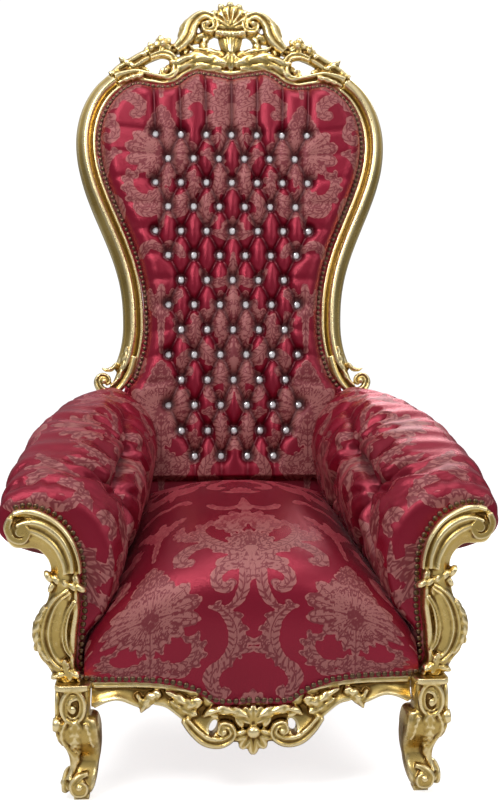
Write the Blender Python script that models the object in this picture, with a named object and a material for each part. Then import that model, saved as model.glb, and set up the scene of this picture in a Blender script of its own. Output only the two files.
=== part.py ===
"""A carved and gilded high-back throne with a deep-buttoned back and padded arms.

The throne stands on z = 0 with its front towards -Y. Everything is in metres.
"""
import math

import bmesh
import bpy
from mathutils import Vector
from mathutils.geometry import delaunay_2d_cdt

# Clearance between pieces that touch
GAP = 0.0003

# Front legs and the arm posts that stand on them
THRONE_HEIGHT = 1.605
LEG_HEIGHT = 0.206
FOOT_HALF_SPAN = 0.299
LEG_BLOCK = 0.0155
KNEE_REACH = 0.046
FRONT_LEG_Y = -0.3497
POST_HEIGHT = 0.2985
POST_FACE_Y = -0.3737
POST_DEPTH = 0.034

# Seat frame
SIDE_RAIL_THICKNESS = 0.028
REAR_RAIL_THICKNESS = 0.026
FRONT_RAIL_DEPTH = 0.030
FRONT_RAIL_BOW = 0.012
RAIL_HEIGHT = 0.062
APRON_DEPTH = 0.112
REAR_JOINT_DROP = 0.070

# Rear posts: leg, hidden post and moulded stile in one length of wood
BACK_LEAN = math.radians(8.4)
BACK_Y = 0.2103
BACK_Z = 0.450
REAR_FOOT_Y = 0.3203
REAR_FOOT_SPLAY = 0.026
REAR_FOOT_SIZE = 0.036
POST_WIDTH = 0.048
POST_THICKNESS = 0.040
STILE_WIDTH = 0.048
STILE_BACK = 0.042
STILE_STEP = 0.0451

# Outline of the upholstered back, as half widths at heights above the floor
WAIST_HALF = 0.2015
WAIST_Z = 0.830
SHOULDER_HALF = 0.312
CORNER_WIDTH = 0.112
CORNER_RISE = 0.146
FLARE = 0.0455
FLARE_DROP = 0.156

# Upholstery
PANEL_THICKNESS = 0.012
PAD_BACK = 0.0200
EDGE_DEPTH = 0.004
SIDE_DEPTH = 0.0132
PUFF_DEPTH = 0.040
PIT_DEPTH = 0.010
BUTTON_ROWS = 14
BUTTON_PITCH = 0.0587
CRYSTAL_RADIUS = 0.0075
CRYSTAL_SEAT = 1.15
SEAT_CROWN = 0.500
SEAT_FRONT_BULGE = 0.034
SEAT_HEM = 0.03
ARM_FRONT_Y = -0.3394
ARM_TOP_FRONT = 0.533
ARM_TOP_REAR = 0.690
ARM_OUT_FRONT = 0.452
ARM_IN_FRONT = 0.238
ARM_REAR_WIDTH = 0.158
ARM_ARCH = 0.026
ARM_SWELL = 0.022
ARM_WALL_FRONT = 0.27
ARM_WALL_REAR = 0.25
ARM_FULL_DROP = 0.13
ARM_TURN_DROP = 0.21

# Places that follow from the sizes above
BACK_SLOPE = math.tan(BACK_LEAN)
SHOULDER_Z = THRONE_HEIGHT - 0.345
FIRST_ROW_Z = SHOULDER_Z + 0.014
LAST_ROW_Z = SEAT_CROWN + 0.038
POST_INNER = WAIST_HALF - 0.0045
ARM_IN_REAR = WAIST_HALF - 0.0135
ARM_OUT_REAR = ARM_IN_REAR + ARM_REAR_WIDTH
RAIL_TOP = LEG_HEIGHT - 0.003
UPHOLSTERY_BOTTOM = LEG_HEIGHT + GAP
POST_FRONT = PAD_BACK + 2 * GAP
REAR_JOINT_Z = RAIL_TOP - REAR_JOINT_DROP
LEG_INNER = FOOT_HALF_SPAN - LEG_BLOCK
LEG_OUTER = FOOT_HALF_SPAN + KNEE_REACH
CORNER_X = SHOULDER_HALF - CORNER_WIDTH
JOINT_ANGLE = math.radians(60.8)
PUFFS_START = SEAT_CROWN - 0.010


def lerp(a, b, t):
    """Value a share t of the way from a to b."""
    return a + (b - a) * t


def through(points, x):
    """Height at x of a smooth line drawn through (x, height) points."""
    last = len(points) - 2
    i = 0
    while i < last and x > points[i + 1][0]:
        i += 1
    (x0, z0), (x1, z1) = points[i], points[i + 1]
    before = points[max(i - 1, 0)]
    after = points[min(i + 2, last + 1)]
    t = min(max((x - x0) / (x1 - x0), 0.0), 1.0)
    m0 = (z1 - before[1]) / (x1 - before[0]) * (x1 - x0)
    m1 = (after[1] - z0) / (after[0] - x0) * (x1 - x0)
    rise = (2 * t ** 3 - 3 * t ** 2 + 1) * z0 + (3 * t ** 2 - 2 * t ** 3) * z1
    return rise + (t ** 3 - 2 * t ** 2 + t) * m0 + (t ** 3 - t ** 2) * m1


def on_back(x, z, d=0.0):
    """Point d behind the leaning front plane of the back, at height z on it."""
    y = BACK_Y + (z - BACK_Z) * BACK_SLOPE + d * math.cos(BACK_LEAN)
    return Vector((x, y, z - d * math.sin(BACK_LEAN)))


def skin(rings):
    """Vertices and faces of a closed skin over rings of equally many points."""
    n = len(rings[0])
    verts = [Vector(p) for ring in rings for p in ring]
    faces = []
    for r in range(len(rings) - 1):
        for k in range(n):
            a, b = r * n + k, r * n + (k + 1) % n
            faces.append((a, b, b + n, a + n))
    faces.append(tuple(range(n)))
    faces.append(tuple(range(len(verts) - n, len(verts))))
    return verts, faces


def join(bodies):
    """One list of vertices and faces made of several bodies."""
    verts, faces = [], []
    for body_verts, body_faces in bodies:
        start = len(verts)
        verts += body_verts
        faces += [tuple(start + k for k in face) for face in body_faces]
    return verts, faces


def mirrored(bodies):
    """The same bodies on the other side of the throne."""
    return [([Vector((-v.x, v.y, v.z)) for v in verts], faces) for verts, faces in bodies]


def make_material(name, color, roughness, metallic):
    """Plain surface with the colour and shine of the real one."""
    material = bpy.data.materials.new(name)
    material.use_nodes = True
    surface = material.node_tree.nodes["Principled BSDF"]
    surface.inputs["Base Color"].default_value = (*color, 1.0)
    surface.inputs["Roughness"].default_value = roughness
    surface.inputs["Metallic"].default_value = metallic
    return material


def make_object(name, body, material=None):
    """Object with outward faces made from one body's vertices and faces."""
    mesh = bpy.data.meshes.new(name)
    bm = bmesh.new()
    verts, faces = body
    made = [bm.verts.new(v) for v in verts]
    for face in faces:
        bm.faces.new([made[k] for k in face])
    bmesh.ops.recalc_face_normals(bm, faces=bm.faces)
    bm.to_mesh(mesh)
    bm.free()
    obj = bpy.data.objects.new(name, mesh)
    bpy.context.scene.collection.objects.link(obj)
    if material is not None:
        mesh.materials.append(material)
        mesh.shade_smooth()
        mesh.set_sharp_from_angle(angle=math.radians(35))
    return obj


def make_tool(name, body):
    """Helper that is only joined to or cut out of another object."""
    tool = make_object(name, body)
    tool.hide_render = True
    tool.display_type = "WIRE"
    return tool


def add_boolean(obj, operation, tool, overlapping=False):
    """Exact Boolean of an object with a helper."""
    cut = obj.modifiers.new(operation.title(), "BOOLEAN")
    cut.operation = operation
    cut.object = tool
    cut.solver = "EXACT"
    cut.use_self = overlapping


def carve(name, block, carving, material, cutters=()):
    """One carved piece: a block with its carving joined on and its cutters taken away."""
    obj = make_object(name, block, material)
    if carving:
        add_boolean(obj, "UNION", make_tool(name + "_carving", join(carving)), True)
    if cutters:
        add_boolean(obj, "DIFFERENCE", make_tool(name + "_cutters", join(cutters)))
    return obj


def limb(path, sides=5, turn=0.0):
    """Tapering carved limb along (point, radius, depth radius, face normal) stations."""
    rings = []
    for i, (point, radius, thick, face) in enumerate(path):
        before = path[max(i - 1, 0)][0]
        after = path[min(i + 1, len(path) - 1)][0]
        across = (after - before).cross(face).normalized()
        ring = []
        for k in range(sides):
            a = turn + 2 * math.pi * k / sides
            ring.append(point + across * (radius * math.cos(a)) + face * (thick * math.sin(a)))
        rings.append(ring)
    return skin(rings)


def lobe(centre, along, face, length, width, thick, sides=5):
    """Petal or bead: an egg shape with its long way along one direction."""
    across = along.cross(face).normalized()
    rings = []
    for share in (-0.90, 0.05, 0.92):
        swell = math.sqrt(1 - share * share)
        middle = centre + along * (length * share)
        ring = []
        for k in range(sides):
            a = 2 * math.pi * (k + 0.5) / sides
            side = across * (width * swell * math.cos(a))
            ring.append(middle + side + face * (thick * swell * math.sin(a)))
        rings.append(ring)
    return skin(rings)


def inner_edge(z):
    """Half width of the upholstered back at a height between flare and shoulder."""
    if z < WAIST_Z:
        return WAIST_HALF + FLARE * ((WAIST_Z - z) / FLARE_DROP) ** 2
    share = min((z - WAIST_Z) / (SHOULDER_Z - WAIST_Z), 1.0) ** 1.2
    return WAIST_HALF + (SHOULDER_HALF - WAIST_HALF) * (1 - math.cos(math.pi * share)) / 2


def half_width(z):
    """Half width of the upholstered back, its rounded upper corner included."""
    if z < SHOULDER_Z:
        return inner_edge(z)
    rise = min((z - SHOULDER_Z) / CORNER_RISE, 1.0)
    return CORNER_X + CORNER_WIDTH * math.sqrt(1 - rise * rise)


def corner(angle):
    """Point of the rounded upper corner, from 0 at the shoulder to 90 degrees on top."""
    x = CORNER_X + CORNER_WIDTH * math.cos(angle)
    return x, SHOULDER_Z + CORNER_RISE * math.sin(angle)


JOINT_X, JOINT_Z = corner(JOINT_ANGLE)


def crest_grid(x, z):
    """Place on the back of a point of the crest's drawing, 257 wide and 214 high."""
    return x / 257 * JOINT_X, JOINT_Z + z / 214 * (THRONE_HEIGHT - JOINT_Z)


def top_line():
    """Wavy top edge of the upholstery from its rounded corner to the middle."""
    waves = ((187, 12), (156, 9), (128, 17), (105, 33), (80, 43), (48, 39), (0, 31))
    return [crest_grid(x, z) for x, z in waves]


def stile_line():
    """Right edge of the upholstery from the flare up to the joint with the crest."""
    line = []
    low = WAIST_Z - FLARE_DROP
    start = low + 3 * STILE_STEP
    heights = [low + k * STILE_STEP for k in range(3)] + [lerp(start, SHOULDER_Z, k / 10) for k in range(11)]
    for z in heights:
        line.append((inner_edge(z), z))
    for k in range(1, 5):
        line.append(corner(JOINT_ANGLE * k / 4))
    return line


def opening_line():
    """Right half of the upholstered back's outline, from the bottom to the middle of the top."""
    low = stile_line()[0]
    line = [(low[0], UPHOLSTERY_BOTTOM + 0.001), (low[0], lerp(UPHOLSTERY_BOTTOM, low[1], 0.6))]
    line += stile_line()
    line += [corner(lerp(JOINT_ANGLE, math.pi / 2, k / 3)) for k in (1, 2)]
    return line + top_line()


def offset_line(line, distance):
    """A line moved outwards by a distance, square to itself."""
    moved = []
    for i, (x, z) in enumerate(line):
        x0, z0 = line[max(i - 1, 0)]
        x1, z1 = line[min(i + 1, len(line) - 1)]
        long = math.hypot(x1 - x0, z1 - z0)
        moved.append((x + (z1 - z0) / long * distance, z - (x1 - x0) / long * distance))
    moved[-1] = (line[-1][0], moved[-1][1])
    return moved


def whole_outline(line):
    """Both halves of an outline, given its right half."""
    return line + [(-x, z) for x, z in reversed(line[:-1])]


def prism(outline, front, back):
    """Upright slab on the leaning back between two depths."""
    rings = [[on_back(x, z, d) for x, z in outline] for d in (front, back)]
    return skin(rings)


def stile_ring(inner, outer, back):
    """Moulded section of a stile: inner step, groove, round bead and outer cove."""
    profile = ((0, back), (0, -0.002), (0.16, -0.005), (0.24, -0.001), (0.42, -0.012),
               (0.64, -0.011), (0.84, 0.001), (1, 0.010), (1, back))
    ring = []
    for share, d in profile:
        ring.append(on_back(lerp(inner[0], outer[0], share), lerp(inner[1], outer[1], share), d))
    return ring


def hidden_post_ring(z):
    """Square section of the rear post behind the arm upholstery."""
    inner, outer = POST_INNER, POST_INNER + POST_WIDTH
    shares = (0, 0, 0.2, 0.3, 0.45, 0.6, 0.8, 1, 1)
    ring = []
    for k, share in enumerate(shares):
        d = POST_FRONT + (POST_THICKNESS if k in (0, 8) else 0.0)
        ring.append(on_back(lerp(inner, outer, share), z, d))
    return ring


def rear_leg_ring(z):
    """Square section of the raked rear leg, level with the floor."""
    share = (REAR_JOINT_Z - z) / (REAR_JOINT_Z)
    rake = share ** 1.6
    top = on_back(0, REAR_JOINT_Z, POST_FRONT).y
    width = lerp(POST_WIDTH, REAR_FOOT_SIZE, share)
    thick = lerp(POST_THICKNESS, REAR_FOOT_SIZE, share)
    x = POST_INNER + REAR_FOOT_SPLAY * rake
    y = lerp(top, REAR_FOOT_Y - REAR_FOOT_SIZE / 2, rake)
    shares = (0, 0, 0.2, 0.3, 0.45, 0.6, 0.8, 1, 1)
    return [Vector((x + width * s, y + (thick if k in (0, 8) else 0), z)) for k, s in enumerate(shares)]


def rear_post():
    """Block and carving of the right rear post."""
    rings = [rear_leg_ring(z * REAR_JOINT_Z) for z in (0, 0.3, 0.6, 1)]
    low = WAIST_Z - FLARE_DROP
    rings += [hidden_post_ring(z) for z in (RAIL_TOP, lerp(RAIL_TOP, low, 0.5), low + 0.03)]
    joint = opening_line().index(stile_line()[-1])
    inner = offset_line(opening_line(), 2 * GAP)
    outer = offset_line(opening_line(), STILE_WIDTH)
    for i in range(5, joint + 1):
        rings.append(stile_ring(inner[i], outer[i], STILE_BACK))
    face = (on_back(0, 1) - on_back(0, 1, 1)).normalized()
    turns = ((232, 100, 20), (243, 62, 19), (258, 34, 15), (276, 18, 11), (295, 22, 10),
             (305, 40, 9), (297, 53, 8), (284, 50, 7), (281, 40, 7), (288, 36, 6))
    x0 = WAIST_HALF + FLARE - 0.247
    path = []
    for x, z, r in turns:
        path.append((on_back(x0 + x / 1000, low - 0.009 + z / 1000, -0.002), r / 1000, 0.0105, face))
    volute = limb(path, 6, 0.3)
    outline = whole_outline(offset_line(opening_line(), GAP))
    return skin(rings), [volute], [prism(outline, -0.08, PAD_BACK + GAP)]


def band_ring(lower, upper, back):
    """Moulded section of the crest's lower band."""
    profile = ((0, back), (0, -0.002), (0.2, -0.006), (0.35, -0.001), (0.6, -0.010),
               (0.85, -0.006), (1, 0.004), (1, back))
    ring = []
    for share, d in profile:
        ring.append(on_back(lerp(lower[0], upper[0], share), lerp(lower[1], upper[1], share), d))
    return ring


def crest_band():
    """Lower band of the crest along the wavy top edge of the upholstery."""
    line = opening_line()
    start = line.index(stile_line()[-1])
    line = line[start:]
    inner = offset_line(line, 2 * GAP)
    widths = (0.046, 0.040, 0.034, 0.030, 0.026, 0.029, 0.031, 0.033, 0.036, 0.044)
    outer = [offset_line(line, width)[i] for i, width in enumerate(widths)]
    half = [band_ring(inner[i], outer[i], STILE_BACK - 0.006) for i in range(len(line))]
    other = [[Vector((-p.x, p.y, p.z)) for p in ring] for ring in reversed(half[:-1])]
    return skin(half + other)


def crest_limb(stations, depth, thick, face):
    """Carved limb of the crest from (x, z, radius) stations of its drawing."""
    scale = JOINT_X / 257
    path = []
    for x, z, r in stations:
        path.append((on_back(*crest_grid(x, z), depth), r * scale, thick, face))
    return limb(path)


def crest_side(face):
    """Scrolls, wing, volute and struts of the right half of the pierced crest."""
    scroll = ((126, 98, 10), (110, 113, 12), (97, 132, 13), (91, 155, 13), (80, 172, 12), (62, 180, 11),
              (45, 172, 10), (38, 156, 9), (45, 143, 8), (58, 143, 7), (63, 154, 7), (54, 158, 7))
    wing = ((290, 19, 12), (276, 29, 12), (258, 46, 12), (232, 62, 12), (205, 78, 11),
            (176, 90, 10), (150, 95, 11), (118, 99, 9))
    ear = ((236, 50, 10), (250, 60, 9), (263, 71, 3))
    shoulder = ((197, 45, 14), (222, 42, 20), (246, 30, 21), (264, 12, 18))
    volute = ((190, 72, 7), (164, 81, 8), (142, 76, 9), (131, 57, 9), (134, 37, 9),
              (147, 27, 8), (161, 31, 7), (162, 43, 6), (151, 44, 6))
    strut = ((74, 64, 9), (64, 82, 7), (60, 98, 5), (60, 118, 5), (54, 132, 6))
    outer_strut = ((112, 62, 9), (104, 82, 7), (101, 98, 6), (104, 115, 7))
    under = ((118, 108, 10), (98, 119, 8), (78, 124, 7), (58, 130, 7), (40, 140, 8))
    bodies = [crest_limb(scroll, -0.002, 0.012, face), crest_limb(wing, 0.010, 0.017, face)]
    bodies += [crest_limb(ear, 0.004, 0.010, face), crest_limb(shoulder, 0.012, 0.016, face)]
    bodies += [crest_limb(volute, 0.000, 0.013, face), crest_limb(strut, 0.010, 0.011, face)]
    bodies += [crest_limb(outer_strut, 0.010, 0.011, face), crest_limb(under, 0.010, 0.012, face)]
    for x, z, r in ((147, 104, 10), (160, 108, 11), (174, 104, 10), (186, 93, 9)):
        centre = on_back(*crest_grid(x, z), 0.0)
        bodies.append(lobe(centre, Vector((0, 0, 1)), face, r / 1000, r / 1000, 0.011))
    return bodies


def crest_middle(face):
    """Shell, collar, fluted vase and leaves in the middle of the crest."""
    vase = ((0, 62, 16), (0, 84, 12), (0, 98, 20), (0, 112, 26), (0, 128, 28))
    collar = ((-36, 134, 8), (-18, 131, 10), (18, 131, 10), (36, 134, 8))
    saddle = ((-36, 150, 11), (0, 148, 12), (36, 150, 11))
    leaves = ((-134, 62, 10), (-98, 68, 18), (-55, 68, 21), (-16, 62, 20))
    leaves += tuple((-x, z, r) for x, z, r in reversed(leaves))
    bodies = [crest_limb(vase, 0.004, 0.016, face), crest_limb(collar, 0.000, 0.018, face)]
    bodies += [crest_limb(saddle, 0.006, 0.014, face), crest_limb(leaves, 0.010, 0.015, face)]
    root = on_back(*crest_grid(0, 146), 0.0)
    up = (on_back(0, 1) - on_back(0, 0)).normalized()
    rise = (THRONE_HEIGHT - root.z) / 2
    for k in range(-3, 4):
        angle = math.radians(22) * k
        along = up * math.cos(angle) + Vector((1, 0, 0)) * math.sin(angle)
        reach = rise * (1 - 0.028 * k * k)
        bodies.append(lobe(root + along * reach, along, face, reach * 1.03, 0.0115, 0.012))
    return bodies


def crest_cutters():
    """Space of the upholstery and of the two stiles, taken out of the crest."""
    outline = whole_outline(offset_line(opening_line(), GAP))
    line = opening_line()
    start = line.index(stile_line()[-1])
    x, z = line[start]
    ox, oz = offset_line(line, 1.0)[start]
    out = Vector((ox - x, oz - z))
    along = Vector((-out.y, out.x))
    box = [(-0.03, -GAP / 2), (0.12, -GAP / 2), (0.12, 0.12), (-0.03, 0.12)]
    side = [(x + out.x * a - along.x * b, z + out.y * a - along.y * b) for a, b in box]
    side = [(px + along.x * GAP / 2, pz + along.y * GAP / 2) for px, pz in side]
    beside_joint = prism(side, -0.05, 0.09)
    return [prism(outline, -0.06, 0.10), beside_joint] + mirrored([beside_joint])


def leg_stations():
    """Inner and outer edges of the front leg at shares of its height."""
    foot, block = 0.29 * KNEE_REACH, LEG_BLOCK
    shares = ((0.062, 0.39, 0.41), (0.12, 0.50, 0.63), (0.20, 0.59, 0.50), (0.28, 0.63, 0.27),
              (0.36, 0.70, 0.22), (0.45, 0.74, 0.52), (0.53, 0.74, 0.83), (0.62, 0.72, 0.96), (0.70, 0.61, 0.89))
    swell = [(s, inner * KNEE_REACH, outer * KNEE_REACH) for s, inner, outer in shares]
    top = [(0.74, block, 0.87 * KNEE_REACH), (0.93, block, 0.87 * KNEE_REACH),
           (0.955, block, KNEE_REACH), (1, block, KNEE_REACH)]
    return [(0, foot, foot), (0.050, foot, foot)] + swell + top


def leg_ring(z, inner, outer):
    """Rounded square section, with its outward corner towards the front of the throne."""
    x0, x1 = FOOT_HALF_SPAN - inner, FOOT_HALF_SPAN + outer
    y0, y1 = FRONT_LEG_Y - outer, FRONT_LEG_Y + inner
    r = 0.20 * (x1 - x0)
    corners = ((x0 + r, y0 + r, 180), (x1 - r, y0 + r, 270), (x1 - r, y1 - r, 0), (x0 + r, y1 - r, 90))
    ring = []
    for cx, cy, start in corners:
        for turn in (0, 90):
            a = math.radians(start + turn)
            ring.append(Vector((cx + r * math.cos(a), cy + r * math.sin(a), z)))
    return ring


def oval_rim(centre, across, up, face, half_wide, half_high, rim):
    """Raised oval moulding of ten sections with four sides each."""
    verts, faces = [], []
    steps, sides = 10, 4
    for i in range(steps):
        a = 2 * math.pi * i / steps
        out = across * math.cos(a) + up * math.sin(a)
        middle = centre + across * (half_wide * math.cos(a)) + up * (half_high * math.sin(a))
        for k in range(sides):
            b = 2 * math.pi * (k + 0.5) / sides
            verts.append(middle + out * (rim * math.cos(b)) + face * (rim * 1.3 * math.sin(b)))
    for i in range(steps):
        for k in range(sides):
            a, b = i * sides + k, i * sides + (k + 1) % sides
            c, d = ((i + 1) % steps) * sides + (k + 1) % sides, ((i + 1) % steps) * sides + k
            faces.append((a, b, c, d))
    return verts, faces


def front_leg():
    """Block and carving of the right front leg: knee panel, knee ball and foot scrolls."""
    rings = [leg_ring(s * LEG_HEIGHT, a, b) for s, a, b in leg_stations()]
    forward, right, up = Vector((0, -1, 0)), Vector((1, 0, 0)), Vector((0, 0, 1))
    knee = Vector((FOOT_HALF_SPAN + 0.013, FRONT_LEG_Y - 0.0415, 0.815 * LEG_HEIGHT))
    carving = [oval_rim(knee, right, up, forward, 0.019, 0.026, 0.0035)]
    foot = 0.135 * LEG_HEIGHT
    for x, y, face in ((0.004, -0.030, forward), (0.030, -0.004, right)):
        centre = Vector((FOOT_HALF_SPAN + x, FRONT_LEG_Y + y, foot))
        carving.append(lobe(centre, up, face, 0.015, 0.014, 0.008))
    ball = Vector((FOOT_HALF_SPAN + 0.041, FRONT_LEG_Y - 0.033, 0.665 * LEG_HEIGHT))
    carving.append(lobe(ball, up, right, 0.011, 0.010, 0.011))
    leaf = Vector((FOOT_HALF_SPAN + 0.014, FRONT_LEG_Y - 0.030, 0.54 * LEG_HEIGHT))
    carving.append(lobe(leaf, up, forward, 0.018, 0.015, 0.009))
    return skin(rings), carving


def post_grid(x, z):
    """Place of a point of the arm post's drawing, 298.5 high with its foot at 0."""
    scale = POST_HEIGHT / 298.5
    return FOOT_HALF_SPAN + x * scale, LEG_HEIGHT + GAP + z * scale


def arm_post():
    """Block and carving of the right arm post: a double scroll with a collar and an eye."""
    stations = ((-1, 0, 44, 0), (10, 26, 59, 25), (9, 50, 74, 44), (7, 84, 80, 81),
                (3, 119, 69, 119), (4, 146, 58, 146), (5, 179, 54, 186), (7, 209, 55, 202),
                (17, 240, 63, 217), (38, 270, 79, 230), (66, 289, 99, 231), (96, 298, 118, 233),
                (121, 293, 129, 246), (132, 280, 133, 262))
    profile = ((0, 0.0), (0, 0.75), (0.14, 0.95), (0.24, 0.82), (0.45, 1.0), (0.7, 0.95), (1, 0.66), (1, 0.0))
    rings = []
    for i, (x0, z0, x1, z1) in enumerate(stations):
        a, b = post_grid(x0, z0), post_grid(x1, z1)
        swell = 0.8 if i == len(stations) - 1 else 1.0
        ring = []
        for share, out in profile:
            y = POST_FACE_Y + POST_DEPTH * (1 - out * swell)
            ring.append(Vector((lerp(a[0], b[0], share), y, lerp(a[1], b[1], share))))
        rings.append(ring)
    forward, up = Vector((0, -1, 0)), Vector((0, 0, 1))
    ex, ez = post_grid(104, 264)
    eye = lobe(Vector((ex, POST_FACE_Y + 0.002, ez)), up, forward, 0.016, 0.016, 0.009, 7)
    collar_path = []
    for x, z in ((1, 164), (18, 168), (40, 178), (63, 184)):
        px, pz = post_grid(x, z)
        collar_path.append((Vector((px, POST_FACE_Y + 0.012, pz)), 0.0075, 0.017, forward))
    carving = [eye, limb(collar_path, 6)]
    lx, lz = post_grid(80, 78)
    carving.append(lobe(Vector((lx - 0.004, POST_FACE_Y + 0.014, lz)), up, forward, 0.024, 0.007, 0.010))
    return skin(rings), carving


RAIL_TOP_LINE = ((0, -37), (35, -40), (66, -38), (86, -25), (117, -11), (150, -4), (205, 0), (290, 0))
RAIL_LOW_LINE = ((0, -112), (36, -109), (63, -112), (86, -102), (106, -83), (123, -63), (150, -46),
                 (173, -40), (190, -50), (233, -34), (254, -36), (284, -48))


def rail_grid(x, z):
    """Place of a point of the front rail's drawing, 283.5 wide each way from the middle."""
    return x / 283.5 * LEG_INNER, RAIL_TOP + z / 112 * APRON_DEPTH


def rail_top(x):
    """Height of the front rail's top edge."""
    share = min(abs(x) / LEG_INNER, 1.0) * 283.5
    return RAIL_TOP + min(through(RAIL_TOP_LINE, share), 0) / 112 * APRON_DEPTH


def rail_places():
    """Stations along the front rail from its left end to its right end."""
    places = (0, 22, 48, 66, 86, 106, 123, 150, 173, 190, 212, 233, 258, 283.5)
    right = [min(place / 283.5 * LEG_INNER, LEG_INNER - GAP) for place in places]
    return [-x for x in reversed(right[1:])] + right


def rail_front(x):
    """How far forward the bowed front rail stands."""
    return FRONT_LEG_Y - 0.004 - FRONT_RAIL_BOW * math.cos(math.pi / 2 * min(abs(x) / LEG_INNER, 1.0))


def front_rail():
    """Block and carving of the shaped front rail with its pierced flower cartouche."""
    profile = ((0, 1.0), (0, 0.12), (0.14, 0.0), (0.34, 0.18), (0.7, 0.02), (0.9, -0.14), (1, 0.1), (1, 1.0))
    rings = []
    for x in rail_places():
        low = RAIL_TOP + through(RAIL_LOW_LINE, abs(x) / LEG_INNER * 283.5) / 112 * APRON_DEPTH
        ring = []
        for share, out in profile:
            ring.append(Vector((x, rail_front(x) + FRONT_RAIL_DEPTH * out, lerp(rail_top(x), low, share))))
        rings.append(ring)
    return skin(rings), rail_carving(), rail_holes()


def rail_carving():
    """Volutes, flower and leaves of the front rail."""
    forward, up, right = Vector((0, -1, 0)), Vector((0, 0, 1)), Vector((1, 0, 0))
    turns = ((116, -70, 7), (100, -90, 8), (82, -106, 8), (62, -110, 8), (46, -106, 8), (35, -94, 7),
             (40, -80, 7), (53, -78, 6), (58, -88, 6), (50, -93, 6))
    leaf = ((20, -62, 7), (34, -56, 7), (52, -50, 6), (72, -52, 3))
    side = ((96, -38, 8), (112, -46, 9), (128, -34, 7), (146, -22, 4))
    drop = ((168, -22, 6), (182, -32, 8), (192, -46, 5), (196, -54, 2))
    bodies = []
    for stations, thick in ((turns, 0.011), (leaf, 0.008), (side, 0.007), (drop, 0.007)):
        path = []
        for x, z, r in stations:
            px, pz = rail_grid(x, z)
            path.append((Vector((px, rail_front(px) + 0.001, pz)), r / 1000, thick, forward))
        bodies.append(limb(path))
    bodies += mirrored(bodies)
    y = rail_front(0) - 0.001
    middle = Vector((0, y - 0.003, rail_grid(0, -89)[1]))
    bodies.append(lobe(middle, up, forward, 0.011, 0.012, 0.010))
    for angle in (-70, -35, 0, 35, 70):
        a = math.radians(angle)
        along = -up * math.cos(a) + right * math.sin(a)
        reach = 0.021 if angle else 0.026
        place = middle + along * reach + Vector((0, 0.005, 0))
        bodies.append(lobe(place, along, forward, 0.016, 0.009, 0.008))
    crown = Vector((0, y + 0.002, rail_grid(0, -60)[1]))
    bodies.append(lobe(crown, right, forward, 0.026, 0.011, 0.008))
    return bodies


def rail_holes():
    """The two pierced holes beside the cartouche."""
    x, z = rail_grid(69, -84)
    y = rail_front(x)
    holes = []
    for side in (-1, 1):
        rings = []
        for depth in (-0.03, 0.06):
            ring = []
            for k in range(8):
                a = 2 * math.pi * k / 8
                ring.append(Vector((side * (x + 0.007 * math.cos(a)), y + depth, z + 0.013 * math.sin(a))))
            rings.append(ring)
        holes.append(skin(rings))
    return holes


def rail_outer(s):
    """Outer half width of the seat frame, from the front leg at 0 to the rear post at 1."""
    return lerp(LEG_OUTER - 0.004, POST_INNER + POST_WIDTH, s)


def side_rail():
    """Right side rail with a shaped lower edge."""
    start = FRONT_LEG_Y + LEG_BLOCK + GAP
    end = on_back(0, REAR_JOINT_Z, POST_FRONT).y - GAP
    rings = []
    for k in range(9):
        s = k / 8
        y = lerp(start, end, s)
        x1 = rail_outer(s)
        x0 = x1 - SIDE_RAIL_THICKNESS
        low = RAIL_TOP - RAIL_HEIGHT * (0.86 - 0.14 * math.cos(2 * math.pi * s))
        mid = lerp(RAIL_TOP, low, 0.6)
        ring = [(x0, RAIL_TOP), (x1 - 0.004, RAIL_TOP), (x1, RAIL_TOP - 0.005), (x1 - 0.005, mid),
                (x1 + 0.001, low + 0.008), (x1 - 0.004, low), (x0, low)]
        rings.append([Vector((px, y, pz)) for px, pz in ring])
    return skin(rings)


def rear_rail():
    """Plain rail between the rear posts."""
    y = on_back(0, REAR_JOINT_Z, POST_FRONT).y + 0.006
    rings = []
    for x in (GAP - POST_INNER, POST_INNER - GAP):
        low = RAIL_TOP - RAIL_HEIGHT
        ring = [(y, RAIL_TOP), (y + REAR_RAIL_THICKNESS, RAIL_TOP), (y + REAR_RAIL_THICKNESS, low), (y, low)]
        rings.append([Vector((x, py, pz)) for py, pz in ring])
    return skin(rings)


def seat_half_width(s):
    """Half width of the seat between the arms, from front to back."""
    return lerp(FOOT_HALF_SPAN - 0.002, ARM_IN_REAR + 0.004, s)


def seat_rear(z):
    """Where the seat upholstery meets the back upholstery."""
    return on_back(0, z, -SIDE_DEPTH - GAP).y


def seat_profile(edge):
    """Front-to-back outline of the seat upholstery, in the middle or along its edge."""
    front, rise = FRONT_LEG_Y - 0.004, SEAT_CROWN - RAIL_TOP
    depth = seat_rear(SEAT_CROWN) - front
    if edge:
        shape = ((0, 0, 0), (0, 0.2, 0.05), (0, 0.1, 0.1), (0, -0.3, 0.15), (0.06, 0, 0.2), (0.2, 0, 0.3),
                 (0.4, 0, 0.45), (0.6, 0, 0.6), (0.78, 0, 0.75), (0.9, 0, 0.85), (0.95, 0, 0.87))
    else:
        shape = ((0, 0.3, 0), (0, 0.8, 0.22), (0, 0.9, 0.42), (0, 0.5, 0.6), (0.05, 0, 0.74), (0.18, 0, 0.84),
                 (0.38, 0, 0.92), (0.6, 0, 0.98), (0.8, 0, 1.0), (0.93, 0, 0.96), (0.985, 0, 0.87))
    return [(front + depth * along - SEAT_FRONT_BULGE * out, RAIL_TOP + rise * up)
            for along, out, up in shape]


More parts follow.
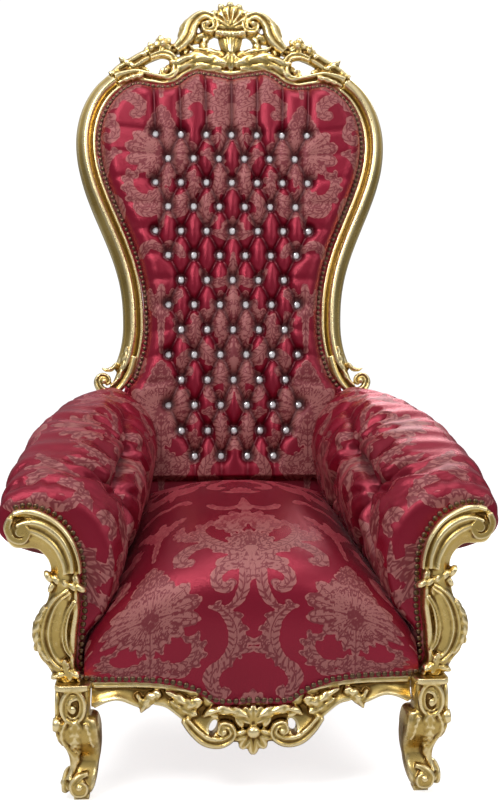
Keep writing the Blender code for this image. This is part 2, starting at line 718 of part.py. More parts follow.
def seat_cushion():
    """Crowned seat upholstery, closed down to the rails."""
    middle, edge = seat_profile(False), seat_profile(True)
    sections = []
    for u in [-1.0] + [x / seat_half_width(0) for x in rail_places()] + [1.0]:
        blend = (1 - abs(u) ** 2.6) ** 0.8
        ring = []
        for i, (centre, side) in enumerate(zip(middle, edge)):
            y = lerp(side[0], centre[0], blend)
            z = lerp(side[1], centre[1], blend)
            s = min(max((y - ARM_FRONT_Y) / (seat_rear(z) - ARM_FRONT_Y), 0.0), 1.0)
            x = u * seat_half_width(s)
            if i == 0:
                z = rail_top(x) + GAP if abs(x) < LEG_INNER - 0.02 else UPHOLSTERY_BOTTOM
                y -= FRONT_RAIL_BOW * math.cos(math.pi / 2 * min(abs(x) / LEG_INNER, 1.0))
            ring.append(Vector((x, min(y, seat_rear(z)), max(z, UPHOLSTERY_BOTTOM) if i else z)))
        x = u * seat_half_width(1.0)
        ring.append(Vector((x, seat_rear(UPHOLSTERY_BOTTOM + SEAT_HEM), UPHOLSTERY_BOTTOM + SEAT_HEM)))
        ring.append(Vector((x, seat_rear(UPHOLSTERY_BOTTOM), UPHOLSTERY_BOTTOM)))
        sections.append(ring)
    return skin(sections)


def arm_section(s):
    """Right arm's outline across, from its outside panel over the roll to its inner wall."""
    wall = rail_outer(s) - 0.003
    full = math.sin(math.pi * s)
    out = lerp(ARM_OUT_FRONT, ARM_OUT_REAR, s) + ARM_SWELL * full
    inside = lerp(ARM_IN_FRONT, ARM_IN_REAR, s)
    foot = seat_half_width(s) + 3 * GAP
    top = lerp(ARM_TOP_FRONT, ARM_TOP_REAR, s) + ARM_ARCH * full
    under = top - 0.100
    drop = lerp(ARM_WALL_FRONT, ARM_WALL_REAR, s)
    return [(wall, UPHOLSTERY_BOTTOM), (wall + 0.004, lerp(UPHOLSTERY_BOTTOM, under, 0.5)),
            (wall + 0.008, under - 0.016), (lerp(wall, out, 0.6), under), (out - 0.008, under + 0.018),
            (out, under + 0.046), (out - 0.012, top - 0.018), (out - 0.045, top - 0.001),
            (lerp(inside, out, 0.52), top), (inside + 0.062, top - 0.018), (inside + 0.022, top - 0.060),
            (inside, top - ARM_FULL_DROP), (lerp(inside, foot, 0.25), top - ARM_TURN_DROP),
            (foot, top - drop),
            (foot, UPHOLSTERY_BOTTOM)]


def arm_upholstery(grow=0.0):
    """Padded right arm from its front face back to the upholstered back."""
    rings = []
    for s in (0.0, 0.03, 0.15, 0.32, 0.5, 0.68, 0.85, 1.0):
        section = arm_section(s)
        cx = sum(p[0] for p in section) / len(section)
        cz = sum(p[1] for p in section) / len(section)
        shrink = 0.95 if s == 0.0 else 1.0
        ring = []
        for i, (x, z) in enumerate(section):
            if i not in (0, 14):
                x, z = lerp(cx, x, shrink), lerp(cz, z, shrink)
            rear = on_back(0, z, -SIDE_DEPTH - GAP * 2).y
            ring.append(Vector((x, lerp(ARM_FRONT_Y, rear, s), z)))
        rings.append(ring)
    body = split_quads(skin(rings))
    return grown(body, grow) if grow else body


def split_quads(body):
    """The same body with every four-sided face cut along one diagonal."""
    faces = []
    for face in body[1]:
        if len(face) == 4:
            faces += [(face[0], face[1], face[2]), (face[0], face[2], face[3])]
        else:
            faces.append(face)
    return body[0], faces


def grown(body, distance):
    """The same body with its skin moved outwards."""
    bm = bmesh.new()
    made = [bm.verts.new(v) for v in body[0]]
    for face in body[1]:
        bm.faces.new([made[k] for k in face])
    bmesh.ops.recalc_face_normals(bm, faces=bm.faces)
    bm.normal_update()
    verts = [v.co + v.normal * distance for v in made]
    bm.free()
    return verts, body[1]


def button_rows():
    """Centres of the crystal buttons row by row, every other row shifted by half a step."""
    rows = []
    for r in range(BUTTON_ROWS):
        z = lerp(FIRST_ROW_Z, LAST_ROW_Z, r / (BUTTON_ROWS - 1))
        room = min(inner_edge(z), SHOULDER_HALF) - 0.45 * BUTTON_PITCH
        shift = 0.0 if r % 2 == 0 else 0.5
        limit = 3 if r < 5 else 2.5 if r < BUTTON_ROWS - 1 else 1.5
        places = []
        for k in range(-4, 5):
            x = (k + shift) * BUTTON_PITCH
            if abs(x) <= min(room, limit * BUTTON_PITCH) + 1e-6:
                places.append(x)
        rows.append((z, places))
    return rows


def back_points():
    """Plan points of the buttoned surface with their depths, and the creases between them."""
    points, edges, crystals = [], [], []
    step = (FIRST_ROW_Z - LAST_ROW_Z) / (BUTTON_ROWS - 1)
    hole = CRYSTAL_RADIUS * CRYSTAL_SEAT
    index = {}
    for r, (z, places) in enumerate(button_rows()):
        for x in places:
            start = len(points)
            for dx, dz in ((hole, 0), (0, hole), (-hole, 0), (0, -hole)):
                points.append((x + dx, z + dz, -PIT_DEPTH))
            edges += [(start + k, start + (k + 1) % 4) for k in range(4)]
            crystals.append(start)
            index[(r, round(x / BUTTON_PITCH * 2))] = start
    for (r, c), start in index.items():
        for side in (-1, 1):
            other = index.get((r + 1, c + side))
            if other is not None:
                edges.append((start + 3, other + 1))
    for r in range(-1, BUTTON_ROWS):
        z = FIRST_ROW_Z - step * r
        for c in range(-9, 10):
            x = c * BUTTON_PITCH / 2
            room = (ARM_IN_REAR if z < ARM_TOP_REAR else half_width(z)) - abs(x)
            if (c + r) % 2 and room > 0.014 and (r >= 0 or abs(x) < 3.2 * BUTTON_PITCH):
                points.append((x, z, -lerp(EDGE_DEPTH, PUFF_DEPTH, min(room / 0.05, 1.0))))
    return points, edges, crystals


def pleat_points():
    """Creases that run up from the first row of buttons and sideways from the end buttons."""
    points, edges = [], []
    top = min(z for x, z in top_line()) - 0.012
    for x in button_rows()[0][1]:
        start = len(points)
        points += [(x, FIRST_ROW_Z + 0.045, -PIT_DEPTH - 0.010), (x, top, -EDGE_DEPTH - 0.006)]
        edges.append((start, start + 1))
        if x > 0:
            for side in (-1, 1):
                points.append((side * (x - BUTTON_PITCH / 2), top - 0.03, -PUFF_DEPTH * 0.75))
    for r, (z, places) in enumerate(button_rows()):
        if z < WAIST_Z - FLARE_DROP:
            continue
        for side in (-1, 1):
            x = max(places) + 0.55 * (inner_edge(z) - max(places))
            if inner_edge(z) - max(places) > 0.035:
                points.append((side * x, z, -PIT_DEPTH - 0.008))
    return points, edges


def border_points():
    """Flat border of the buttoned surface where the arms and the seat press against it."""
    points, edges = [], []
    x = ARM_IN_REAR - 0.006
    top = ARM_TOP_REAR - 0.045
    for side in (-1, 1):
        start = len(points)
        points += [(side * x, lerp(PUFFS_START, top, k / 4), -SIDE_DEPTH) for k in range(5)]
        points.append((side * (x + 0.040), ARM_TOP_REAR - 0.006, -SIDE_DEPTH))
        edges += [(start + k, start + k + 1) for k in range(5)]
    edges.append((0, 6))
    return points, edges


def back_upholstery():
    """Buttoned inner back with its crystals, flat behind."""
    outline = whole_outline(opening_line())
    count = len(outline)
    low = WAIST_Z - FLARE_DROP
    depths = [-(SIDE_DEPTH if z < low + 0.02 else EDGE_DEPTH) for x, z in outline]
    inner, creases, crystals = back_points()
    pleats, pleat_edges = pleat_points()
    borders, border_edges = border_points()
    start, later = count, count + len(inner)
    last = later + len(pleats)
    loose = inner + pleats + borders
    coords = [Vector((x, z)) for x, z in outline] + [Vector((x, z)) for x, z, d in loose]
    depths += [d for x, z, d in loose]
    edges = [(a + start, b + start) for a, b in creases]
    edges += [(a + later, b + later) for a, b in pleat_edges]
    edges += [(a + last, b + last) for a, b in border_edges]
    face = [list(range(count))]
    plan = delaunay_2d_cdt(coords, edges, face, 1, 1e-6)
    verts, faces, depth_of = [], [], []
    for k, place in enumerate(plan[0]):
        source = plan[3][k]
        depth_of.append(depths[source[0]] if source else -EDGE_DEPTH)
        verts.append(on_back(place.x, place.y, depth_of[-1]))
    where = {source[0]: k for k, source in enumerate(plan[3]) if source}
    squares = [frozenset(where[start + c + k] for k in range(4)) for c in crystals]
    inside = set(squares)
    for triangle in plan[2]:
        if not any(set(triangle) <= square for square in inside):
            faces.append(tuple(triangle))
    for c in crystals:
        add_crystal(verts, faces, [where[start + c + k] for k in range(4)])
    base = len(verts)
    ring = [where[k] for k in range(count)]
    verts += [on_back(x, z, PAD_BACK - GAP) for x, z in outline]
    for k in range(count):
        n = (k + 1) % count
        faces.append((ring[k], ring[n], base + n, base + k))
    faces.append(tuple(base + k for k in range(count)))
    return verts, faces


def add_crystal(verts, faces, ring):
    """Faceted crystal that rises from a square of the surface."""
    forward = (on_back(0, 1) - on_back(0, 1, 1)).normalized()
    middle = sum((verts[k] for k in ring), Vector()) / 4
    start = len(verts)
    for k in ring:
        verts.append(middle + (verts[k] - middle) / CRYSTAL_SEAT + forward * 0.007)
    verts.append(middle + forward * 0.011)
    for k in range(4):
        n = (k + 1) % 4
        faces.append((ring[k], ring[n], start + n, start + k))
        faces.append((start + k, start + n, start + 4))


def back_panel():
    """Upholstered outside back that closes the frame behind."""
    line = opening_line()
    line = [(min(x, POST_INNER) - GAP if z < WAIST_Z else x - GAP * 0.5, z) for x, z in line]
    line[0] = (POST_INNER - GAP, RAIL_TOP + 0.004)
    middle = (line[-1][0] + GAP * 0.5, line[-1][1])
    outline = whole_outline([p for p in line[:-1]] + [middle])
    inset = [(x * 0.95, lerp(WAIST_Z, z, 0.98)) for x, z in outline]
    rings = []
    for shape, d in ((outline, PAD_BACK + GAP), (outline, PAD_BACK + PANEL_THICKNESS * 0.6),
                     (inset, PAD_BACK + PANEL_THICKNESS)):
        rings.append([on_back(x, z, d) for x, z in shape])
    return skin(rings)


def build():
    """Makes every piece of the throne."""
    gold = make_material("gold_leaf", (0.83, 0.60, 0.22), 0.30, 1.0)
    silk = make_material("damask", (0.42, 0.03, 0.06), 0.45, 0.0)
    face = (on_back(0, 1) - on_back(0, 1, 1)).normalized()

    half_crest = crest_side(face)
    crest_carving = half_crest + mirrored(half_crest) + crest_middle(face)
    carve("crest_rail", crest_band(), crest_carving, gold, crest_cutters())
    rail_block, rail_ornament, holes = front_rail()
    carve("front_rail", rail_block, rail_ornament, gold, holes)
    make_object("rear_rail", rear_rail(), gold)

    for side, flip in (("right", False), ("left", True)):
        pieces = {"front_leg": front_leg(), "arm_post": arm_post(), "rear_post": rear_post()}
        for kind, (block, carving, *cutters) in pieces.items():
            cutters = cutters[0] if cutters else []
            if flip:
                block, = mirrored([block])
                carving, cutters = mirrored(carving), mirrored(cutters)
            carve(kind + "_" + side, block, carving, gold, cutters)
        rail, arm = side_rail(), arm_upholstery()
        if flip:
            rail, arm = mirrored([rail, arm])
        make_object("side_rail_" + side, rail, gold)
        make_object("arm_pad_" + side, arm, silk)

    grown_arm = arm_upholstery(GAP * 1.5)
    carve("seat_cushion", seat_cushion(), [], silk, [grown_arm] + mirrored([grown_arm]))
    make_object("back_pad", back_upholstery(), silk)
    make_object("back_panel", back_panel(), silk)


def main():
    """Clears the scene and builds the throne under one empty."""
    for obj in list(bpy.data.objects):
        bpy.data.objects.remove(obj, do_unlink=True)
    build()
    throne = bpy.data.objects.new("throne", None)
    bpy.context.scene.collection.objects.link(throne)
    for obj in bpy.data.objects:
        if obj is not throne:
            obj.parent = throne


main()
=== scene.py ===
# %% [markdown]
# # A carved and gilded throne with a deep-buttoned back
# The solids of the throne are already made, to size and in place. This lesson dresses them:
# it carves the gold frame in fine relief, upholsters the back, arms and seat in damask, and
# sets the crystal buttons and the nails. The solids are loaded first, because every piece
# that follows sits where its solid sits.

# %% Load the solids
import math
import random

import bpy
import numpy as np
from mathutils import Matrix, Vector
from mathutils.kdtree import KDTree


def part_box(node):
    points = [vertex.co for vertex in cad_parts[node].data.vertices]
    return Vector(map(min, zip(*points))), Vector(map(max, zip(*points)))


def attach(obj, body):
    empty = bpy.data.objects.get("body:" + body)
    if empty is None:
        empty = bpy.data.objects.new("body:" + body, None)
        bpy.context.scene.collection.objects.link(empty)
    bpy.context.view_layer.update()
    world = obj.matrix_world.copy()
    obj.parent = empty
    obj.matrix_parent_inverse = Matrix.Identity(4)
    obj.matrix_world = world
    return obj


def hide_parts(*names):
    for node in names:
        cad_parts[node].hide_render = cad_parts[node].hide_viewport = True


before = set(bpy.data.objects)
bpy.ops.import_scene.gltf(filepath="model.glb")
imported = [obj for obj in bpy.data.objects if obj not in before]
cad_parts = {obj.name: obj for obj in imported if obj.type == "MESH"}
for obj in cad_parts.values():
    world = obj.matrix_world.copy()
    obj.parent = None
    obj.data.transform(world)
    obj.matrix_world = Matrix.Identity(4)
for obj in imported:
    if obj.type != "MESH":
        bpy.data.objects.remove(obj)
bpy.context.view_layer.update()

# %% [markdown]
# ## Camera
# The throne is seen from straight in front, a little left of its middle and just under
# the height of the arms' tops. The lens looks down a little, and a small upward shift of the
# frame keeps the tall back inside the picture.

# %% Camera
FRAME_PIXELS_HIGH = 800
LENS_PIXELS = 1201

lens = bpy.data.cameras.new("camera")
camera = bpy.data.objects.new("camera", lens)
bpy.context.scene.collection.objects.link(camera)
lens.sensor_fit = "VERTICAL"
lens.sensor_height = 36
lens.lens = LENS_PIXELS / FRAME_PIXELS_HIGH * 36
lens.shift_y = -60 / FRAME_PIXELS_HIGH
camera.matrix_world = (Matrix.Translation((-0.155, -2.4697, 0.80)) @ Matrix.Rotation(-0.0714, 4, "Z")
                       @ Matrix.Rotation(math.radians(90), 4, "X"))
bpy.context.scene.camera = camera
print("lens", round(lens.lens, 2), "mm")

# %% [markdown]
# ## Floor and light
# A pale floor runs far behind the throne. Large soft lamps from the upper left and the right
# give the satin its glow, and the world is kept greyer than the lamps, so that the gilding has
# something dark to mirror: gold under even light looks like yellow paint.

# %% Floor, lamps and world
def clear_selection():
    """Nothing selected and object mode, ready for the next operator."""
    if bpy.context.object and bpy.context.object.mode != "OBJECT":
        bpy.ops.object.mode_set(mode="OBJECT")
    bpy.ops.object.select_all(action="DESELECT")


def choose(obj):
    """Only this object selected and active."""
    clear_selection()
    obj.hide_set(False)
    obj.select_set(True)
    bpy.context.view_layer.objects.active = obj


def lamp(name, place, aim, size, power):
    """A square soft lamp that looks at a point."""
    light = bpy.data.lights.new(name, "AREA")
    light.size = size
    light.energy = power
    obj = bpy.data.objects.new(name, light)
    bpy.context.scene.collection.objects.link(obj)
    obj.location = place
    obj.rotation_euler = (Vector(aim) - Vector(place)).to_track_quat("-Z", "Y").to_euler()
    return obj


lamp("key_lamp", (-1.5, -2.1, 3.0), (0, 0, 1.1), 1.2, 52)
lamp("fill_lamp", (2.2, -1.9, 2.2), (0, 0, 0.8), 1.1, 16)
lamp("top_lamp", (0.2, -0.6, 3.6), (0, 0, 0.6), 1.0, 23)
lamp("rear_lamp", (0.8, 2.8, 2.4), (0, 0, 0.9), 1.6, 34)

def join(tree, value, socket):
    """Sets a socket to a value, or links it to the socket that the value is."""
    if isinstance(value, bpy.types.NodeSocket):
        tree.links.new(value, socket)
    else:
        socket.default_value = value


def node(tree, kind, inputs=None, **settings):
    """A node with its settings and its inputs, each a value or another node's socket."""
    made = tree.nodes.new("ShaderNode" + kind)
    for label, value in settings.items():
        setattr(made, label, value)
    for label, value in (inputs or {}).items():
        join(tree, value, made.inputs[label])
    return made


def ranged(tree, value, start, end, low=0.0, high=1.0, kind="SMOOTHSTEP"):
    """A value between start and end spread between a low and a high one."""
    return node(tree, "MapRange", {"Value": value, "From Min": start, "From Max": end, "To Min": low,
                                   "To Max": high}, interpolation_type=kind).outputs["Result"]


def new_material(name):
    """An empty material and its node tree."""
    material = bpy.data.materials.new(name)
    material.use_nodes = True
    return material, material.node_tree


def set_shader(material, values):
    """Gives a material's shader its inputs, each a value or another node's socket."""
    for label, value in values.items():
        join(material.node_tree, value, material.node_tree.nodes["Principled BSDF"].inputs[label])
    return material


world = bpy.data.worlds.new("studio")
bpy.context.scene.world = world
world.use_nodes = True
tree = world.node_tree
sky = tree.nodes["Background"]
sky.inputs["Color"].default_value = (0.98, 0.98, 1.0, 1)
paths = node(tree, "LightPath").outputs
height = node(tree, "SeparateXYZ", {0: node(tree, "TexCoord").outputs["Generated"]}).outputs["Z"]
mirrored_room = ranged(tree, height, -0.10, 0.80, 0.17, 0.76)
by_gloss = ranged(tree, paths["Is Glossy Ray"], 0.0, 1.0, 0.36, mirrored_room)
join(tree, ranged(tree, paths["Is Camera Ray"], 0.0, 1.0, by_gloss, 1.1), sky.inputs["Strength"])
bpy.context.scene.view_settings.view_transform = "Standard"

clear_selection()
bpy.ops.mesh.primitive_plane_add(size=14, location=(0, 0, -0.0005))
floor = bpy.context.object
floor.name = "floor"
floor_paint, tree = new_material("pale_floor")
seen = node(tree, "LightPath").outputs["Is Camera Ray"]
set_shader(floor_paint, {"Base Color": (0.80, 0.80, 0.80, 1), "Roughness": 0.7, "Emission Color": (1, 1, 1, 1),
                         "Emission Strength": ranged(tree, seen, 0.0, 1.0, 0.0, 0.75)})
floor.data.materials.append(floor_paint)
print("lamps:", len(bpy.data.lights))

# %% [markdown]
# ## Measures of the frame
# These are the same measures that the solids were drawn with: the lean of the back, the
# outline of the upholstery, and the grids that the crest, the arm posts and the front rail
# were drawn on. With them a leaf or a nail is placed where the wood really is.

# %% Measures
GAP = 0.0003
THRONE_HEIGHT = 1.605
LEG_HEIGHT = 0.206
FOOT_HALF_SPAN = 0.299
FRONT_LEG_Y = -0.3497
LEG_HALF = 0.0155
FRONT_LIMIT_Y = -0.3957
POST_HEIGHT = 0.2985
POST_FACE_Y = -0.3737
POST_DEPTH = 0.034
FRONT_RAIL_DEPTH = 0.030
FRONT_RAIL_BOW = 0.012
RAIL_HEIGHT = 0.062
BACK_LEAN = math.radians(8.4)
BACK_Y = 0.2103
BACK_Z = 0.450
REAR_FOOT_Y = 0.3203
REAR_FOOT_SPLAY = 0.026
REAR_FOOT_SIZE = 0.036
POST_INNER = 0.197
POST_WIDTH = 0.048
POST_THICKNESS = 0.040
STILE_WIDTH = 0.048
STILE_BACK = 0.042
WAIST_HALF = 0.2015
WAIST_Z = 0.830
SHOULDER_HALF = 0.312
SHOULDER_Z = 1.260
CORNER_WIDTH = 0.112
CORNER_RISE = 0.146
FLARE = 0.0455
FLARE_DROP = 0.156
PANEL_THICKNESS = 0.012
PAD_BACK = 0.0200
EDGE_DEPTH = 0.004
SIDE_DEPTH = 0.0132
PUFF_DEPTH = 0.040
BUTTON_ROWS = 14
BUTTON_PITCH = 0.0587
FIRST_ROW_Z = 1.274
LAST_ROW_Z = 0.538
SEAT_CROWN = 0.500
SEAT_FRONT_BULGE = 0.034
ARM_FRONT_Y = -0.3394
ARM_TOP_FRONT = 0.533
ARM_TOP_REAR = 0.690
ARM_OUT_FRONT = 0.452
ARM_OUT_REAR = 0.346
ARM_ARCH = 0.026
ARM_SWELL = 0.022
ARM_IN_FRONT = 0.238
ARM_IN_REAR = 0.188
RAIL_TOP = LEG_HEIGHT - 0.003
POST_JOINT_Z = RAIL_TOP - 0.070
UPHOLSTERY_BOTTOM = LEG_HEIGHT + GAP
POST_FRONT = PAD_BACK + 2 * GAP
LEG_INNER = FOOT_HALF_SPAN - LEG_HALF
LEG_OUTER = FOOT_HALF_SPAN + 0.046
CORNER_X = SHOULDER_HALF - CORNER_WIDTH
JOINT_ANGLE = math.radians(60.8)
UP = np.array((0.0, 0.0, 1.0))
RIGHT = np.array((1.0, 0.0, 0.0))
FORWARD = np.array((0.0, -1.0, 0.0))
BACK_FACE = np.array((0.0, -math.cos(BACK_LEAN), math.sin(BACK_LEAN)))


def on_back(x, z, d=0.0):
    """Points d behind the leaning front plane of the back, at height z on it."""
    x, z, d = np.broadcast_arrays(np.asarray(x, float), z, d)
    y = BACK_Y + (z - BACK_Z) * math.tan(BACK_LEAN) + d * math.cos(BACK_LEAN)
    return np.stack((x, y, z - d * math.sin(BACK_LEAN)), axis=-1)


def leaning(degrees, up):
    """Direction that leans this many degrees from upright to the right."""
    return up * math.cos(math.radians(degrees)) + RIGHT * math.sin(math.radians(degrees))


def inner_edge(z):
    """Half width of the upholstered back between its flare and its shoulder."""
    if z < WAIST_Z:
        return WAIST_HALF + FLARE * ((WAIST_Z - z) / FLARE_DROP) ** 2
    share = min((z - WAIST_Z) / (SHOULDER_Z - WAIST_Z), 1.0) ** 1.2
    return WAIST_HALF + (SHOULDER_HALF - WAIST_HALF) * (1 - math.cos(math.pi * share)) / 2


def corner(angle):
    """Point of the rounded upper corner, from 0 at the shoulder to 90 degrees on top."""
    return CORNER_X + CORNER_WIDTH * math.cos(angle), SHOULDER_Z + CORNER_RISE * math.sin(angle)


JOINT_X, JOINT_Z = corner(JOINT_ANGLE)
BACK_UP = on_back(0, 1) - on_back(0, 0)
BACK_UP /= np.linalg.norm(BACK_UP)
CREST_GRID_HALF, CREST_GRID_HEIGHT, POST_GRID_HEIGHT, RAIL_GRID_HALF = 257, 214, 298.5, 283.5
CREST_SCALE = JOINT_X / CREST_GRID_HALF
MILLIMETRE = 0.001


def crest_grid(x, z):
    """Place on the back of a point of the crest's drawing, which starts at the joint."""
    return x * CREST_SCALE, JOINT_Z + z / CREST_GRID_HEIGHT * (THRONE_HEIGHT - JOINT_Z)


def post_grid(x, z):
    """Place of a point of the arm post's drawing, with its foot at 0."""
    scale = POST_HEIGHT / POST_GRID_HEIGHT
    return FOOT_HALF_SPAN + x * scale, LEG_HEIGHT + GAP + z * scale


def rail_grid(x, z):
    """Place of a point of the front rail's drawing, from its middle and its top."""
    return x / RAIL_GRID_HALF * LEG_INNER, RAIL_TOP + z * MILLIMETRE


def rail_front(x):
    """How far forward the bowed front rail stands."""
    share = np.minimum(np.abs(x) / LEG_INNER, 1.0)
    return FRONT_LEG_Y - 0.004 - FRONT_RAIL_BOW * np.cos(math.pi / 2 * share)


def flow(stations, steps):
    """A smooth run through stations, each a row of numbers, with this many steps between."""
    rows = np.asarray(stations, float)
    padded = np.vstack((2 * rows[0] - rows[1], rows, 2 * rows[-1] - rows[-2]))
    run = []
    for i in range(len(rows) - 1):
        p0, p1, p2, p3 = padded[i:i + 4]
        t = np.linspace(0, 1, steps, endpoint=False)[:, None]
        run.append(0.5 * (2 * p1 + (p2 - p0) * t + (2 * p0 - 5 * p1 + 4 * p2 - p3) * t ** 2
                          + (3 * p1 - p0 - 3 * p2 + p3) * t ** 3))
    return np.vstack(run + [rows[-1:]])


def run_length(line):
    """Length of a line up to each of its points."""
    return np.concatenate(([0], np.cumsum(np.linalg.norm(np.diff(line, axis=0), axis=1))))


def stile_line(steps=14, bend=5):
    """Right edge of the upholstery from the flare up to the joint with the crest."""
    low = WAIST_Z - FLARE_DROP
    heights = np.linspace(low, SHOULDER_Z, steps)
    line = [(inner_edge(z), z) for z in heights]
    return line + [corner(a) for a in np.linspace(0, JOINT_ANGLE, bend)[1:]]


def top_line():
    """Wavy top edge of the upholstery from its rounded corner to the middle."""
    waves = ((187, 12), (156, 9), (128, 17), (105, 33), (80, 43), (48, 39), (0, 31))
    return [crest_grid(x, z) for x, z in waves]


def opening_line():
    """Right half of the upholstered back's outline, from the bottom to the middle of the top."""
    low = stile_line()[0]
    foot = UPHOLSTERY_BOTTOM
    line = [(low[0], foot + 0.001), (low[0], foot + 0.6 * (low[1] - foot))]
    line += stile_line()
    return line + [corner(a) for a in np.linspace(JOINT_ANGLE, math.pi / 2, 4)[1:3]] + top_line()


def offset_line(line, distance):
    """A line moved outwards by a distance, square to itself."""
    line = np.asarray(line, float)
    before, after = np.vstack((line[:1], line[:-1])), np.vstack((line[1:], line[-1:]))
    run = after - before
    run /= np.linalg.norm(run, axis=1)[:, None]
    moved = line + np.stack((run[:, 1], -run[:, 0]), axis=1) * np.asarray(distance).reshape(-1, 1)
    if abs(line[-1, 0]) < 1e-9:
        moved[-1, 0] = 0.0
    return moved


print("joint of stile and crest at", round(JOINT_X, 4), round(JOINT_Z, 4))

# %% [markdown]
# ## Gold leaf
# Real leaf is burnished on the high places and keeps brown patina in the hollows. Later each
# carved mesh gets a number at every point that says how hollow the place is, and the material
# reads it. The parts that other finishes share, such as hollow and edge masks and fine grain,
# are node groups that only put out numbers and colours.

# %% Shared node groups
def new_group(name, inputs, outputs):
    """A node group with named number, colour or vector sockets."""
    group = bpy.data.node_groups.new(name, "ShaderNodeTree")
    for direction, sockets in (("INPUT", inputs), ("OUTPUT", outputs)):
        for label, kind, start in sockets:
            socket = group.interface.new_socket(name=label, in_out=direction, socket_type="NodeSocket" + kind)
            if direction == "INPUT" and start is not None:
                socket.default_value = start
    return group, group.nodes.new("NodeGroupInput"), group.nodes.new("NodeGroupOutput")


def calculated(tree, operation, *values):
    """The result of a calculation with numbers or sockets."""
    return node(tree, "Math", dict(enumerate(values)), operation=operation).outputs[0]


def noise(tree, place, scale, detail, roughness=0.5):
    """Soft noise over a place."""
    return node(tree, "TexNoise", {"Vector": place, "Scale": scale, "Detail": detail,
                                   "Roughness": roughness}).outputs["Fac"]


def cells(tree, place, scale):
    """Distance to the nearest of many scattered points."""
    return node(tree, "TexVoronoi", {"Vector": place, "Scale": scale}).outputs["Distance"]


def bumped(tree, height, strength, distance):
    """The normal of a surface with this relief."""
    return node(tree, "Bump", {"Height": height, "Strength": strength, "Distance": distance}).outputs["Normal"]


def wear_group():
    """Masks of the hollows and the rubbed high places of a carved surface, broken up by grain."""
    group, start, end = new_group("carving_wear",
                                  [("Hollow", "Float", 0.0), ("Scale", "Float", 60.0), ("Break up", "Float", 0.25)],
                                  [(label, "Float", None) for label in ("Hollows", "High places", "Grain")])
    grain = noise(group, node(group, "TexCoord").outputs["Object"], start.outputs["Scale"], 5.0, 0.6)
    stray = calculated(group, "MULTIPLY", calculated(group, "SUBTRACT", grain, 0.5), start.outputs["Break up"])
    mixed = calculated(group, "ADD", start.outputs["Hollow"], stray)
    join(group, ranged(group, mixed, 0.06, 0.62), end.inputs["Hollows"])
    join(group, ranged(group, mixed, -0.10, -0.55), end.inputs["High places"])
    join(group, grain, end.inputs["Grain"])
    return group


def weave_group():
    """Height of crossing warp and weft threads along a cloth's own coordinates."""
    group, start, end = new_group("satin_weave", [("Cloth", "Vector", None), ("Threads", "Float", 1400.0)],
                                  [("Height", "Float", None), ("Slub", "Float", None)])
    cloth, threads = start.outputs["Cloth"], start.outputs["Threads"]
    parts = node(group, "SeparateXYZ", {0: cloth}).outputs
    waves = [calculated(group, "SINE", calculated(group, "MULTIPLY", parts[axis], threads)) for axis in "XY"]
    stretched = node(group, "Mapping", {"Vector": cloth, "Scale": (1.0, 0.08, 1.0)}).outputs["Vector"]
    join(group, calculated(group, "MULTIPLY", *waves), end.inputs["Height"])
    join(group, noise(group, stretched, 900.0, 2.0), end.inputs["Slub"])
    return group


WEAR = wear_group()
WEAVE = weave_group()
print("node groups:", [g.name for g in (WEAR, WEAVE)])


# %% Gold leaf material
def mix_colours(tree, factor, low, high):
    """A mix of two colours, given as values or as sockets."""
    mix = node(tree, "Mix", data_type="RGBA")
    colours = [s for s in mix.inputs if s.type == "RGBA"]
    for socket, value in zip([mix.inputs[0]] + colours, (factor, low, high)):
        join(tree, value, socket)
    return [s for s in mix.outputs if s.type == "RGBA"][0]


def gold_leaf():
    """Burnished leaf, brown in the hollows, with soft overlaps, worn spots and brush texture."""
    material, tree = new_material("gold_leaf_finish")
    hollow = node(tree, "Attribute", attribute_name="hollow").outputs["Fac"]
    wear = node(tree, "Group", {"Hollow": hollow, "Scale": 95.0, "Break up": 0.55}, node_tree=WEAR).outputs
    place = node(tree, "TexCoord").outputs["Object"]
    leaf = mix_colours(tree, noise(tree, place, 13.0, 3.0), (0.41, 0.265, 0.062, 1), (0.69, 0.515, 0.185, 1))
    aged = mix_colours(tree, wear["Hollows"], leaf, (0.165, 0.088, 0.022, 1))
    rubbed = mix_colours(tree, wear["High places"], aged, (0.90, 0.74, 0.40, 1))
    return set_shader(material, {"Base Color": rubbed, "Metallic": 1.0,
                                 "Roughness": ranged(tree, wear["Grain"], 0.0, 1.0, 0.17, 0.42, "LINEAR"),
                                 "Normal": bumped(tree, noise(tree, place, 340.0, 4.0), 0.22, 0.0006)})


GOLD = gold_leaf()
print("finish:", GOLD.name)

# %% [markdown]
# ## Carving tools
# The ornament is drawn as strokes: a run of points, each with a half width. A stroke becomes a
# limb of wood whose front is cut as a scroll with a channel, as a leaf with a midrib and
# scalloped lobes, or as plain round stock. Curve objects with a bevel could do it, but a curve
# can't scallop its edge, so the limbs are lofted from rings. The strokes of one piece are
# then fused by a voxel remesh, as a carver frees them all from one board.

# %% Limbs, beads and fusing
SIDES = 22
FLIP = np.array((-1.0, 1.0, 1.0))


def loft(rings):
    """Points and faces of a closed skin over rings, with both ends shut."""
    count, sides = len(rings), len(rings[0])
    points = np.concatenate(rings)
    a = np.arange(count - 1)[:, None] * sides + np.arange(sides)[None, :]
    b = np.arange(count - 1)[:, None] * sides + (np.arange(sides)[None, :] + 1) % sides
    faces = np.stack((a, b, b + sides, a + sides), axis=-1).reshape(-1, 4).tolist()
    faces.append(list(range(sides))[::-1])
    faces.append(list(range(len(points) - sides, len(points))))
    return points, faces


